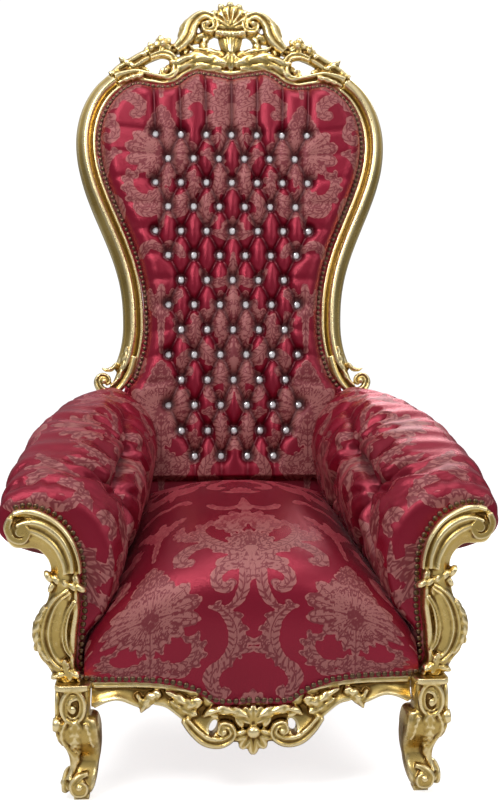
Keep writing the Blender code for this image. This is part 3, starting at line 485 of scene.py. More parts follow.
def relief(kind, along, across, cuts):
    """Width and height factors of a limb's section, for its kind of carving."""
    width, height = np.ones_like(along * across), np.ones_like(along * across)
    if kind == "scroll":
        height = 1 - 0.42 * np.exp(-(across / 0.30) ** 2) + 0.10 * np.exp(-((np.abs(across) - 0.55) / 0.2) ** 2)
        height = height + 0 * along
    if kind == "leaf":
        beat = np.abs(np.sin(math.pi * cuts * along))
        width = 1 - 0.26 * (1 - beat) ** 1.5 + 0 * across
        vein = np.abs(np.sin(math.pi * (cuts * along + 0.5 - 0.9 * np.abs(across))))
        height = 0.80 + 0.26 * vein ** 0.6 + 0.24 * np.exp(-(across / 0.14) ** 2)
    if kind == "rope":
        height = 0.80 + 0.28 * np.abs(np.sin(math.pi * (cuts * along + 0.8 * across))) ** 0.7
        width = height
    return width, height


def stroke(path, thick, face, kind, cuts, steps=8):
    """A limb along a path of (x, y, z, half width) rows."""
    run = flow(path, steps)
    centre, half = run[:, :3], np.maximum(run[:, 3], 0.0006)
    tangent = np.gradient(centre, axis=0)
    side = np.cross(tangent, face)
    side /= np.maximum(np.linalg.norm(side, axis=1), 1e-9)[:, None]
    length = run_length(centre)
    along = (length / length[-1])[:, None]
    turn = np.linspace(0, 2 * math.pi, SIDES, endpoint=False)[None, :]
    width, height = relief(kind, along, np.cos(turn), cuts)
    reach = side[:, None, :] * (half[:, None] * width * np.cos(turn))[..., None]
    depth = np.where(np.sin(turn) > 0, height, 1.0) * np.sin(turn) * thick
    rings = centre[:, None, :] + reach + np.asarray(face) * depth[..., None]
    return loft(rings)


def bead(centre, along, face, length, width, thick, groove=0.0):
    """An egg shape with its long way along one direction, with an optional groove down it."""
    along, face = np.asarray(along, float), np.asarray(face, float)
    along = along / np.linalg.norm(along)
    side = np.cross(along, face)
    side /= np.linalg.norm(side)
    polar = np.linspace(0.06, math.pi - 0.06, 13)
    turn = np.linspace(0, 2 * math.pi, SIDES, endpoint=False)
    dip = 1 - groove * np.exp(-(np.cos(turn) / 0.28) ** 2) * (np.sin(turn) > 0)
    rings = []
    for p in polar:
        middle = np.asarray(centre) - along * length * math.cos(p)
        rings.append(middle + math.sin(p) * (side * (width * np.cos(turn))[:, None]
                                              + face * (thick * np.sin(turn) * dip)[:, None]))
    return loft(rings)


def carve(board, table):
    """Strokes on a board: each row is kind, cuts, depth, thickness and (x, z, half width) points."""
    place, face, _, scale = board
    return [stroke([(*place(x, z, depth), r * scale) for x, z, r in points], thick, face, kind, cuts)
            for kind, cuts, depth, thick, points in table]


def lobe(board, x, z, depth, lean, length, width, thick, groove=0.0):
    """A bead, petal or leaf tip on a board that leans this many degrees from upright."""
    place, face, up, _ = board
    return bead(place(x, z, depth), leaning(lean, up), face, length, width, thick, groove)


def mirror_parts(parts):
    """The same parts on the other side of the throne."""
    return [(points * FLIP, [face[::-1] for face in faces]) for points, faces in parts]


def mesh_object(name, parts):
    """One object of several parts, at the origin, its place in its mesh."""
    points, faces, start = [], [], 0
    for part_points, part_faces in parts:
        points.append(part_points)
        faces += [[k + start for k in face] for face in part_faces]
        start += len(part_points)
    mesh = bpy.data.meshes.new(name)
    mesh.from_pydata(np.concatenate(points).tolist(), [], faces)
    mesh.update()
    obj = bpy.data.objects.new(name, mesh)
    bpy.context.scene.collection.objects.link(obj)
    return obj


def apply_modifier(obj, kind, **settings):
    """Adds one modifier with its settings and applies it."""
    choose(obj)
    modifier = obj.modifiers.new(kind.title(), kind)
    for label, value in settings.items():
        setattr(modifier, label, value)
    bpy.ops.object.modifier_apply(modifier=modifier.name)


def edit_all(obj):
    """Edit mode on one object with all of it selected."""
    choose(obj)
    bpy.ops.object.mode_set(mode="EDIT")
    bpy.ops.mesh.select_all(action="SELECT")


def outward(obj, merge=True):
    """All faces turned outwards, after doubles are merged."""
    edit_all(obj)
    if merge:
        bpy.ops.mesh.remove_doubles(threshold=0.00002)
    bpy.ops.mesh.normals_make_consistent(inside=False)
    bpy.ops.object.mode_set(mode="OBJECT")


def fuse(obj, voxel, soften):
    """All overlapping parts of an object made one skin, then softened a little."""
    outward(obj)
    apply_modifier(obj, "REMESH", mode="VOXEL", voxel_size=voxel, adaptivity=0.0)
    apply_modifier(obj, "SMOOTH", factor=0.5, iterations=soften)


def read(items, label, width, kind=float):
    """One property of all items of a mesh as an array, with several numbers an item or one."""
    values = np.empty(len(items) * width, dtype=kind)
    items.foreach_get(label, values)
    return values.reshape(-1, width) if width > 1 else values


def coordinates(obj):
    """All vertex places of an object as an array."""
    return read(obj.data.vertices, "co", 3)


def set_coordinates(obj, places):
    """Moves all vertices of an object."""
    obj.data.vertices.foreach_set("co", np.ascontiguousarray(places, dtype=np.float32).ravel())
    obj.data.update()


def edge_array(obj):
    """Vertex pairs of all edges."""
    return read(obj.data.edges, "vertices", 2, np.int32)


def normals(obj):
    """Vertex normals as an array."""
    return read(obj.data.vertices, "normal", 3)


def write(obj, name, values, domain="POINT"):
    """Keeps a number for every point or face corner, for the material to read."""
    obj.data.attributes.new(name, "FLOAT", domain).data.foreach_set("value", values.astype(np.float32))


def relaxed(places, pairs, rounds, share=0.6):
    """Places after averaging each with its neighbours several times."""
    count = np.maximum(np.bincount(pairs.ravel(), minlength=len(places)), 1)[:, None]
    soft = places.copy()
    for _ in range(rounds):
        total = np.stack([sum(np.bincount(pairs[:, a], soft[pairs[:, 1 - a], k], len(soft)) for a in (0, 1))
                          for k in range(3)], axis=1)
        soft += share * (total / count - soft)
    return soft


def mark_hollows(obj, reach=0.0016, rounds=26):
    """Writes how hollow each point is: above 0 in the cuts, below 0 on the ridges."""
    places, pairs = coordinates(obj), edge_array(obj)
    rise = np.einsum("ij,ij->i", relaxed(places, pairs, rounds) - places, normals(obj)) / reach
    rise = relaxed(np.repeat(rise[:, None], 3, axis=1), pairs, 2)[:, 0]
    write(obj, "hollow", np.clip(rise, -1.5, 1.5))


def mirrored_copy(obj, name):
    """A copy on the throne's other side with its own mesh and outward faces."""
    choose(obj)
    bpy.ops.object.duplicate()
    twin = bpy.context.object
    twin.name = name
    twin.data.transform(Matrix.Scale(-1, 4, (1, 0, 0)))
    twin.data.flip_normals()
    return twin


def hang_on(obj, finish, slot, *solids):
    """Gives a finished piece its material and smooth shading and puts it in its solids' place."""
    obj.data.materials.clear()
    obj.data.materials.append(finish)
    obj.data.shade_smooth()
    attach(obj, "root")
    if solids:
        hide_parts(*solids)
    triangles = sum(len(p.vertices) - 2 for p in obj.data.polygons)
    print(obj.name, "triangles:", triangles)


def hang_both(obj, finish, slot, solid):
    """Hangs a right-hand piece and its mirrored twin in the places of a right and a left solid."""
    twin = mirrored_copy(obj, obj.name.replace("right", "left"))
    hang_on(obj, finish, slot, solid + "_right")
    hang_on(twin, finish, slot, solid + "_left")
    return obj, twin


print("sides of a limb:", SIDES)

# %% [markdown]
# ## The crest
# The crest is the showpiece: a fanned shell between two big scrolls over a collar and a
# fluted vase, broad leaves that spread outwards along the band, flower clusters, small
# volutes and pierced holes. Each is a stroke on the crest's drawing grid. The right half is
# drawn and mirrored, then the middle is added, all is fused, and the wood inside the
# upholstery's line is pressed back to it.

# %% Crest
def on_crest(x, z, depth):
    """Place on the crest, some way behind the back's front plane."""
    return on_back(*crest_grid(x, z), depth)


CREST = (on_crest, BACK_FACE, BACK_UP, CREST_SCALE)


def crest_flower(x, z, depth, size):
    """A small flower of five grooved petals round a bead."""
    parts = [lobe(CREST, x, z, depth - 0.007, 0, size * 0.34, size * 0.34, size * 0.34)]
    for lean in range(20, 380, 72):
        turn = math.radians(lean)
        parts.append(lobe(CREST, x + math.sin(turn) * size * 520, z + math.cos(turn) * size * 520, depth, lean,
                          size * 0.52, size * 0.36, size * 0.42, 0.35))
    return parts


def crest_side():
    """Strokes of the crest's right half: scrolls, shoulder, struts, spreading leaves and beads."""
    parts = carve(CREST, (
        ("scroll", 1, -0.001, 0.0125, ((130, 94, 12), (114, 110, 16), (101, 130, 19), (93, 153, 18), (79, 170, 15),
                                       (61, 178, 13), (43, 171, 12), (35, 155, 11), (43, 141, 9), (58, 141, 8),
                                       (64, 153, 7), (55, 158, 6))),
        ("scroll", 1, 0.010, 0.017, ((290, 19, 13), (276, 28, 16), (258, 44, 18), (232, 60, 18), (205, 77, 17),
                                     (176, 89, 16), (150, 95, 15), (118, 101, 12))),
        ("leaf", 3, 0.003, 0.010, ((228, 52, 8), (244, 60, 9), (256, 68, 7), (264, 74, 2))),
        ("leaf", 4, 0.012, 0.015, ((192, 44, 10), (207, 42, 17), (224, 40, 22), (246, 30, 22), (264, 12, 18))),
        ("scroll", 1, 0.000, 0.0125, ((190, 74, 8), (164, 82, 10), (141, 77, 11), (130, 57, 11), (133, 37, 10.5),
                                      (147, 27, 9), (161, 31, 7.5), (162, 43, 6), (151, 44, 5))),
        ("leaf", 4, 0.010, 0.011, ((78, 62, 14), (69, 82, 14), (65, 98, 12), (62, 118, 11), (56, 132, 11))),
        ("leaf", 4, 0.010, 0.011, ((116, 62, 12), (109, 82, 11), (106, 98, 10), (108, 115, 11))),
        ("leaf", 5, 0.010, 0.012, ((122, 106, 13), (100, 119, 15), (80, 126, 14), (58, 132, 13), (40, 141, 11))),
        ("leaf", 3, -0.001, 0.012, ((12, 60, 13), (40, 68, 18), (72, 74, 18), (102, 72, 15), (128, 62, 10),
                                    (146, 62, 4))),
        ("leaf", 3, 0.001, 0.011, ((22, 48, 11), (52, 54, 13), (84, 57, 13), (112, 50, 11), (132, 34, 6))),
        ("leaf", 3, 0.004, 0.010, ((10, 74, 10), (34, 87, 12), (60, 93, 10), (84, 97, 7), (98, 104, 3))),
        ("leaf", 4, 0.006, 0.011, ((126, 104, 8), (118, 124, 9), (116, 142, 8), (108, 160, 6), (96, 172, 2))),
        ("leaf", 4, -0.005, 0.008, ((206, 30, 7), (226, 26, 8), (248, 18, 7), (268, 8, 3))),
        ("leaf", 3, 0.004, 0.009, ((262, 40, 7), (278, 38, 7), (292, 30, 5), (304, 22, 2)))))
    for x, z, depth, size, thick in ((57, 156, 0.008, (0.0200, 0.0185), 0.010), (147, 52, 0.012, (0.011, 0.010), 0.008),
                                     (54, 156, -0.010, (0.0068, 0.0068), 0.008),
                                     (153, 42, -0.010, (0.0055, 0.0055), 0.006)):
        parts.append(lobe(CREST, x, z, depth, 0, *size, thick))
    parts += crest_flower(160, 105, -0.003, 0.023) + crest_flower(187, 95, 0.001, 0.018)
    for x, z, lean, size in ((146, 98, -60, 0.010), (171, 112, 30, 0.010), (194, 88, 60, 0.010), (205, 82, 80, 0.008)):
        parts.append(lobe(CREST, x, z, 0.0, lean, size, size * 0.6, 0.008, 0.3))
    return parts


def crest_shell():
    """Seven fluted rays of the shell, each a grooved petal with a rolled tip."""
    root_x, root_z = crest_grid(0, 146)
    root = on_back(root_x, root_z, 0.0)
    rise = (THRONE_HEIGHT - root_z) / 2
    parts = []
    for k in range(-3, 4):
        along = leaning(22 * k, BACK_UP)
        reach = rise * (1 - 0.028 * k * k)
        parts.append(bead(root + along * reach, along, BACK_FACE, reach * 1.03, 0.0118, 0.0125, 0.45))
        parts.append(bead(root + along * reach * 1.72 + BACK_FACE * 0.005, along, BACK_FACE, 0.007, 0.0085, 0.007))
        if k < 3:
            rib = leaning(22 * k + 11, BACK_UP)
            parts.append(bead(root + rib * reach * 0.9, rib, BACK_FACE, reach * 0.85, 0.0035, 0.0135))
    return parts


def crest_middle():
    """Shell, collar, fluted vase and the root of the leaves."""
    leaves = ((-134, 62, 10), (-98, 68, 18), (-55, 68, 21), (-16, 62, 20))
    leaves += tuple((-x, z, r) for x, z, r in reversed(leaves))
    table = [("round", 1, 0.004, 0.015, ((0, 62, 18), (0, 84, 16), (0, 98, 23), (0, 112, 28), (0, 128, 30))),
             ("rope", 9, 0.000, 0.017, ((-36, 134, 8), (-18, 131, 10), (0, 130, 10.5), (18, 131, 10), (36, 134, 8))),
             ("round", 1, 0.006, 0.014, ((-36, 150, 11), (0, 148, 12), (36, 150, 11))),
             ("round", 1, 0.009, 0.0135, leaves)]
    table += [("round", 1, -0.009 + 0.0011 * k * k, 0.0055,
               ((k * 3.5, 88, 2.6), (k * 5.5, 104, 3.4), (k * 7.6, 122, 3.8))) for k in range(-3, 4)]
    parts = carve(CREST, table)
    for lean, size in ((-48, 0.020), (-24, 0.024), (0, 0.027), (24, 0.024), (48, 0.020)):
        turn = math.radians(lean)
        parts.append(lobe(CREST, math.sin(turn) * 24, 62 + math.cos(turn) * 8, -0.004, 180 - lean * 1.1,
                          size, size * 0.42, 0.010, 0.4))
    return parts + crest_shell()


BAND_PROFILE = flow(((0, -0.002), (0.10, -0.0065), (0.24, -0.006), (0.33, -0.0015), (0.45, -0.004), (0.60, -0.010),
                     (0.74, -0.0115), (0.86, -0.006), (0.94, 0.002), (1, 0.006)), 6)


def moulded_run(inner, outer, profile, back):
    """A moulding lofted along the back between an inner and an outer line."""
    rings = []
    for (x0, z0), (x1, z1) in zip(inner, outer):
        shares, depths = profile[:, 0], profile[:, 1]
        front = on_back(x0 + (x1 - x0) * shares, z0 + (z1 - z0) * shares, depths)
        rear = on_back(np.array((x1, (x0 + x1) / 2, x0)), np.array((z1, (z0 + z1) / 2, z0)), back)
        rings.append(np.vstack((front, rear)))
    return rings


def crest_band():
    """Lower band of the crest along the wavy top edge of the upholstery."""
    line = opening_line()
    start = len(stile_line()) + 1
    line = line[start:]
    widths = (0.046, 0.040, 0.034, 0.030, 0.026, 0.029, 0.031, 0.033, 0.036, 0.044)
    inner = flow(offset_line(line, 2 * GAP), 8)
    outer = flow([offset_line(line, width)[i] for i, width in enumerate(widths)], 8)
    inner = np.vstack((inner, (inner[:-1] * (-1, 1))[::-1]))
    outer = np.vstack((outer, (outer[:-1] * (-1, 1))[::-1]))
    return loft(moulded_run(inner, outer, BAND_PROFILE, STILE_BACK - 0.006))


def outline_distance(places, line):
    """Nearest point on an outline for each (x, z) place, and whether it lies inside."""
    half = np.asarray(line, float)
    loop = np.vstack((half, (half[:-1] * (-1, 1))[::-1]))
    nearest, best = np.zeros_like(places), np.full(len(places), 1e9)
    inside = np.zeros(len(places), bool)
    for a, b in zip(loop, np.roll(loop, -1, axis=0)):
        run = b - a
        t = np.clip(((places - a) @ run) / max(run @ run, 1e-12), 0, 1)[:, None]
        foot = a + t * run
        gap = np.linalg.norm(places - foot, axis=1)
        closer = gap < best
        nearest[closer], best[closer] = foot[closer], gap[closer]
        crosses = (a[1] > places[:, 1]) != (b[1] > places[:, 1])
        with np.errstate(divide="ignore", invalid="ignore"):
            at = a[0] + (places[:, 1] - a[1]) / (b[1] - a[1]) * run[0]
        inside ^= crosses & (places[:, 0] < at)
    return nearest, best, inside


def on_plan(places):
    """(x, z) on the leaning plane and depth behind it, for places in space."""
    d = (places[:, 1] - BACK_Y - (places[:, 2] - BACK_Z) * math.tan(BACK_LEAN)) * math.cos(BACK_LEAN)
    return np.stack((places[:, 0], places[:, 2] + d * math.sin(BACK_LEAN)), axis=1), d


def press_back(obj, limit=1.0):
    """Presses wood that reaches over the upholstery's line back to it, as far behind as a limit."""
    plan, d = on_plan(coordinates(obj))
    nearest, _, inside = outline_distance(plan, flow(offset_line(opening_line(), 2 * GAP), 4))
    wrong = inside & (d < limit)
    plan[wrong] = nearest[wrong]
    set_coordinates(obj, on_back(plan[:, 0], plan[:, 1], d))


def press_joint(obj):
    """Presses the crest back to the plane of its joint with the stile."""
    line = opening_line()
    start = len(stile_line()) + 1
    foot = np.array(line[start])
    out = offset_line(line, 1.0)[start] - foot
    along = np.array((-out[1], out[0]))
    plan, d = on_plan(coordinates(obj))
    mirror = np.sign(plan[:, 0])
    plan[:, 0] = np.abs(plan[:, 0])
    over = (plan - foot) @ along
    wrong = (np.abs((plan - foot) @ out - 0.045) < 0.075) & (over < GAP)
    plan[wrong] += (GAP - over[wrong])[:, None] * along
    plan[:, 0] *= mirror
    set_coordinates(obj, on_back(plan[:, 0], plan[:, 1], d))


half_crest = crest_side()
crest = mesh_object("crest", [crest_band()] + half_crest + mirror_parts(half_crest) + crest_middle())
fuse(crest, 0.0020, 2)
press_back(crest)
press_joint(crest)
mark_hollows(crest)
hang_on(crest, GOLD, "gold_leaf", "crest_rail")

# %% [markdown]
# ## Stiles and rear legs
# One length of wood is the raked rear leg, the post hidden by the arm and the moulded stile
# of the back. The stile is a moulding: an inner step, a groove, a round bead and a cove. A
# profile swept along the outline gives the long clean lines that a remesh would blur, so only
# the volute at its foot is fused from strokes.

# %% Rear posts
STILE_PROFILE = flow(((0, -0.002), (0.05, -0.0052), (0.13, -0.0056), (0.18, -0.0035), (0.23, -0.0008),
                      (0.29, -0.0028), (0.38, -0.0095), (0.50, -0.0133), (0.62, -0.0112), (0.70, -0.0068),
                      (0.78, -0.0022), (0.84, 0.0004), (0.90, 0.0022), (0.95, 0.0062), (1.0, 0.0100)), 4)


def stile_rings():
    """Rings of the moulded stile, from its foot to the joint."""
    line = opening_line()
    inner = flow(offset_line(line, 2 * GAP)[3:len(stile_line()) + 2], 10)
    outer = flow(offset_line(line, STILE_WIDTH)[3:len(stile_line()) + 2], 10)
    return moulded_run(inner, outer, STILE_PROFILE, STILE_BACK)


def leg_rings():
    """Rings of the rear leg and the hidden post, with as many points as a stile ring."""
    count = len(STILE_PROFILE)
    shares = np.linspace(0, 1, count)
    rings = []
    joint = POST_JOINT_Z
    top = on_back(0, joint, POST_FRONT)[1]
    for z in np.linspace(0, joint, 26):
        share = (joint - z) / joint
        rake = share ** 1.6
        wide = POST_WIDTH + (REAR_FOOT_SIZE - POST_WIDTH) * share
        thick = POST_THICKNESS + (REAR_FOOT_SIZE - POST_THICKNESS) * share
        x = POST_INNER + REAR_FOOT_SPLAY * rake
        y = top + (REAR_FOOT_Y - REAR_FOOT_SIZE / 2 - top) * rake
        round_off = 0.004 * (1 - (1 - np.minimum(np.minimum(shares, 1 - shares) / 0.12, 1)) ** 2) - 0.004
        front = np.stack((x + wide * shares, y - round_off, np.full(count, z)), axis=1)
        rear = [(x + wide - 0.003, y + thick, z), (x + wide / 2, y + thick, z), (x + 0.003, y + thick, z)]
        rings.append(np.vstack((front, rear)))
    for z in (RAIL_TOP, (RAIL_TOP + WAIST_Z - FLARE_DROP) / 2, WAIST_Z - FLARE_DROP + 0.03):
        front = on_back(POST_INNER + POST_WIDTH * shares, z, POST_FRONT)
        rear = on_back(POST_INNER + POST_WIDTH * np.array((1, 0.5, 0)), z, POST_FRONT + POST_THICKNESS)
        rings.append(np.vstack((front, rear)))
    return rings


def foot_volute():
    """Scroll at the foot of the stile with its eye and two leaf tips."""
    x0, low = WAIST_HALF + FLARE - 0.247, WAIST_Z - FLARE_DROP

    def on_stile(x, z, depth):
        return on_back(x0 + x * MILLIMETRE, low + z * MILLIMETRE, depth)

    return carve((on_stile, BACK_FACE, BACK_UP, MILLIMETRE), (
        ("scroll", 1, -0.001, 0.0105, ((232, 91, 20), (243, 53, 19), (258, 25, 15), (276, 9, 11), (295, 13, 10),
                                       (305, 31, 9), (297, 44, 8), (284, 41, 7), (281, 31, 6), (288, 27, 5))),
        ("leaf", 5, -0.006, 0.008, ((238, 110, 5), (243, 84, 8), (250, 58, 8), (262, 34, 6), (276, 20, 3))),
        ("leaf", 3, 0.0, 0.008, ((262, 74, 4), (272, 62, 6), (284, 58, 5), (296, 62, 2)))
    )) + [bead(on_back(x0 + 0.290, low + 0.032, -0.009), UP, BACK_FACE, 0.0065, 0.0065, 0.007)]


def join_objects(name, objects):
    """Several objects joined into one."""
    clear_selection()
    for obj in objects:
        obj.select_set(True)
    bpy.context.view_layer.objects.active = objects[0]
    bpy.ops.object.join()
    objects[0].name = name
    return objects[0]


stile = mesh_object("stile", [loft(leg_rings() + stile_rings())])
outward(stile)
volute = mesh_object("stile_volute", foot_volute())
fuse(volute, 0.0014, 2)
press_back(volute, PAD_BACK + GAP)
rear_post = join_objects("rear_post_carved_right", [stile, volute])
mark_hollows(rear_post, 0.0012, 20)
hang_both(rear_post, GOLD, "gold_leaf", "rear_post")

# %% [markdown]
# ## Arm posts
# Each arm ends in a double scroll: a thick roll that turns over at the top with an eye in
# its end, a collar of twisted leaves, a bulge with a long C moulding, and a leafy foot. The
# body is lofted between the inner and the outer edge of the drawing, the ornament is laid
# on it in strokes, and all is fused.

# %% Arm posts
def on_post(x, z, depth):
    """Place on the arm post, some way behind its face."""
    px, pz = post_grid(x, z)
    return np.array((px, POST_FACE_Y + depth, pz))


POST = (on_post, FORWARD, UP, MILLIMETRE)


def post_body():
    """The post's body between its inner and outer edges."""
    stations = ((-1, 0, 44, 0), (10, 26, 59, 25), (9, 50, 74, 44), (7, 84, 80, 81),
                (3, 119, 69, 119), (4, 146, 58, 146), (5, 179, 54, 186), (7, 209, 55, 202),
                (17, 240, 63, 217), (38, 270, 79, 230), (66, 289, 99, 231), (96, 298, 118, 233),
                (121, 293, 129, 246), (132, 280, 133, 262))
    section = flow(((0, 0.0), (0, 0.60), (0.07, 0.86), (0.15, 0.88), (0.22, 0.72), (0.34, 0.84), (0.5, 0.97),
                    (0.68, 0.95), (0.80, 0.80), (0.92, 0.62), (1, 0.50), (1, 0.0)), 4)
    rings = []
    for x0, z0, x1, z1 in flow(stations, 7):
        a, b = np.array(post_grid(x0, z0)), np.array(post_grid(x1, z1))
        plan = a + (b - a) * np.clip(section[:, :1], 0, 1)
        depth = POST_FACE_Y + POST_DEPTH * (1 - section[:, 1])
        rings.append(np.stack((plan[:, 0], depth, plan[:, 1]), axis=1))
    return loft(rings)


def post_parts():
    """Body and ornament of the right arm post: scrolls, leaves, spiral, rim and the leaf collar."""
    parts = [post_body()] + carve(POST, (
        ("scroll", 1, 0.010, 0.014, ((22, 188, 13), (26, 212, 15), (40, 240, 17), (62, 260, 18), (88, 270, 16),
                                     (112, 268, 10))),
        ("scroll", 1, 0.009, 0.012, ((20, 158, 7), (44, 140, 9), (58, 112, 11), (62, 80, 12), (52, 48, 10), (34, 28, 8),
                                     (20, 30, 6))),
        ("scroll", 1, 0.010, 0.010, ((12, 140, 5), (24, 118, 6), (30, 88, 7), (26, 60, 6), (16, 44, 4))),
        ("leaf", 6, 0.012, 0.013, ((62, 132, 5), (72, 108, 9), (76, 82, 10), (68, 56, 8), (56, 38, 4))),
        ("leaf", 5, 0.010, 0.012, ((4, 10, 8), (22, 15, 10), (40, 12, 8), (52, 8, 4))),
        ("leaf", 4, 0.007, 0.010, ((18, 4, 6), (26, 22, 8), (30, 40, 5))),
        ("scroll", 1, 0.004, 0.009, ((122, 286, 6), (127, 268, 7), (118, 250, 6), (101, 246, 6), (92, 258, 5),
                                     (98, 270, 4), (107, 268, 4))),
        ("round", 1, 0.009, 0.009, ((3, 188, 4), (6, 212, 4.5), (17, 242, 5), (38, 270, 5.5), (66, 288, 6),
                                    (96, 296, 6.5), (118, 292, 5)))))
    for k, (x, z) in enumerate(((2, 162), (15, 165), (29, 171), (43, 177), (57, 183))):
        parts.append(lobe(POST, x, z, 0.010, 58 - 6 * k, 0.0125, 0.0062, 0.0135, 0.25))
    for x, z, lean, size in ((10, 176, 20, 0.012), (34, 190, 34, 0.012), (52, 164, 150, 0.010), (22, 150, 170, 0.012)):
        parts.append(lobe(POST, x, z, 0.010, lean, size, size * 0.55, 0.010, 0.35))
    for x, z, lean in ((78, 96, 20), (80, 80, 5), (77, 62, -15), (52, 28, 40), (60, 40, 20)):
        parts.append(lobe(POST, x, z, 0.016, lean, 0.0105, 0.0065, 0.011, 0.3))
    return parts + [lobe(POST, 105, 262, 0.001, 0, 0.0085, 0.0085, 0.008)]


def keep_within(obj, low, high):
    """Keeps every point of an object between two corners."""
    set_coordinates(obj, np.clip(coordinates(obj), low, high))


arm_post = mesh_object("arm_post_carved_right", post_parts())
fuse(arm_post, 0.0015, 2)
POST_LIMIT = (0.4485, -0.3757, 0.5063)
keep_within(arm_post, (0, POST_LIMIT[1], UPHOLSTERY_BOTTOM), (POST_LIMIT[0], ARM_FRONT_Y - GAP, POST_LIMIT[2]))
mark_hollows(arm_post)
hang_both(arm_post, GOLD, "gold_leaf", "arm_post")

# %% [markdown]
# ## Front legs
# The legs are cabriole legs that stand on small square blocks. The knee has an oval moulded
# panel with a C scroll in it, a ball beside it and a leaf below, and the foot turns up in two
# scrolls. The body is lofted from rounded squares whose outer corner swings out at the knee.

# %% Front legs
def leg_body():
    """The leg's body as rounded squares at shares of its height."""
    stations = ((0, 0.0135, 0.0135), (0.050, 0.0135, 0.0135), (0.062, 0.018, 0.019), (0.12, 0.023, 0.029),
                (0.20, 0.027, 0.023), (0.28, 0.029, 0.0125), (0.36, 0.032, 0.010), (0.45, 0.034, 0.024),
                (0.53, 0.034, 0.038), (0.62, 0.033, 0.043), (0.70, 0.028, 0.040), (0.74, 0.0155, 0.039),
                (0.93, 0.0155, 0.039), (0.955, 0.0155, 0.0455), (1, 0.0155, 0.0455))
    turn = np.linspace(0, 2 * math.pi, 40, endpoint=False)
    cos, sin = np.cos(turn), np.sin(turn)
    rings = []
    for share, inner, outer in stations[:2]:
        square = np.maximum(np.abs(cos), np.abs(sin))
        rings.append(np.stack((FOOT_HALF_SPAN + inner * cos / square, FRONT_LEG_Y + inner * sin / square,
                               np.full(40, share * LEG_HEIGHT)), axis=1))
    for share, inner, outer in flow(stations[2:], 6):
        half = (inner + outer) / 2
        soft = (np.abs(cos) ** 4.5 + np.abs(sin) ** 4.5) ** (1 / 4.5)
        x = FOOT_HALF_SPAN + (outer - inner) / 2 + half * cos / soft
        y = FRONT_LEG_Y - (outer - inner) / 2 + half * sin / soft
        rings.append(np.stack((x, y, np.full(40, share * LEG_HEIGHT)), axis=1))
    return loft(rings)


def oval_ring(centre, across, up, face, wide, high, rim, thick):
    """A raised oval moulding: a closed stroke round an oval."""
    path = []
    for a in np.linspace(0, 2 * math.pi * 1.02, 26):
        path.append((*(centre + across * wide * math.cos(a) + up * high * math.sin(a)), rim))
    return stroke(path, thick, face, "round", 1, 2)


def leg_stroke(face, kind, cuts, thick, rows):
    """A stroke on one of the leg's two outer faces, from (across, height, out, half width) rows in mm."""
    side = RIGHT if face is FORWARD else FORWARD
    foot = np.array((FOOT_HALF_SPAN, FRONT_LEG_Y, 0.0))
    path = [(*(foot + (side * across + UP * height + face * out) * MILLIMETRE), r * MILLIMETRE)
            for across, height, out, r in rows]
    return stroke(path, thick, face, kind, cuts)


def leg_parts():
    """Body and carving of the right front leg."""
    parts = [leg_body()]
    for face, across in ((FORWARD, RIGHT), (RIGHT, FORWARD)):
        knee = np.array((FOOT_HALF_SPAN, FRONT_LEG_Y, 0.822 * LEG_HEIGHT)) + across * 0.013 + face * 0.0400
        parts.append(oval_ring(knee, across, UP, face, 0.0195, 0.0275, 0.0042, 0.0052))
        parts.append(oval_ring(knee, across, UP, face, 0.0125, 0.0195, 0.0022, 0.0036))
        parts.append(leg_stroke(face, "scroll", 1, 0.0045, ((6, 184, 40, 3), (17, 180, 41, 3.5), (20, 168, 41, 3.5),
                                                            (13, 160, 41, 3), (9, 166, 41, 2.5))))
        parts.append(bead(knee + face * 0.001 - UP * 0.004, UP, face, 0.006, 0.005, 0.005))
        parts += [leg_stroke(face, *row) for row in (
            ("leaf", 6, 0.0075, ((9, 142, 39, 12), (10, 124, 38.5, 13), (10, 104, 32, 11), (9, 84, 16.5, 8),
                                 (8, 62, 10, 5))),
            ("leaf", 4, 0.0070, ((-8, 140, 38, 5), (-14, 124, 37, 6), (-17, 108, 31, 6), (-21, 94, 22, 3))),
            ("leaf", 4, 0.0070, ((25, 144, 39, 4), (31, 130, 37, 5), (32, 114, 34, 5), (27, 99, 27, 3))),
            ("round", 1, 0.006, ((26, 128, 36, 4), (26, 104, 28, 4), (18, 76, 13, 4), (16, 56, 14, 4),
                                 (20, 38, 22, 4))),
            ("scroll", 1, 0.0065, ((-12, 48, 20, 4), (2, 44, 26, 6), (14, 32, 29, 7), (10, 18, 29, 7), (-4, 16, 28, 6),
                                   (-8, 27, 28, 5), (0, 33, 28, 4), (5, 27, 28, 4))))]
        sole = np.array((FOOT_HALF_SPAN, FRONT_LEG_Y, 0.027)) + across * 0.003 + face * 0.024
        parts.append(bead(sole, UP, face, 0.0150, 0.0150, 0.0105))
        parts.append(bead(sole + face * 0.009, UP, face, 0.0055, 0.0055, 0.005))
    ball = np.array((FOOT_HALF_SPAN + 0.041, FRONT_LEG_Y - 0.033, 0.665 * LEG_HEIGHT))
    parts.append(bead(ball, UP, RIGHT, 0.0125, 0.0115, 0.0115))
    for lean in (-50, 0, 50):
        turn = math.radians(lean)
        along = UP * math.cos(turn) * 0.8 + RIGHT * math.sin(turn) - FORWARD * 0.2
        parts.append(bead(ball + along * 0.010, along, FORWARD, 0.009, 0.005, 0.006, 0.3))
    return parts


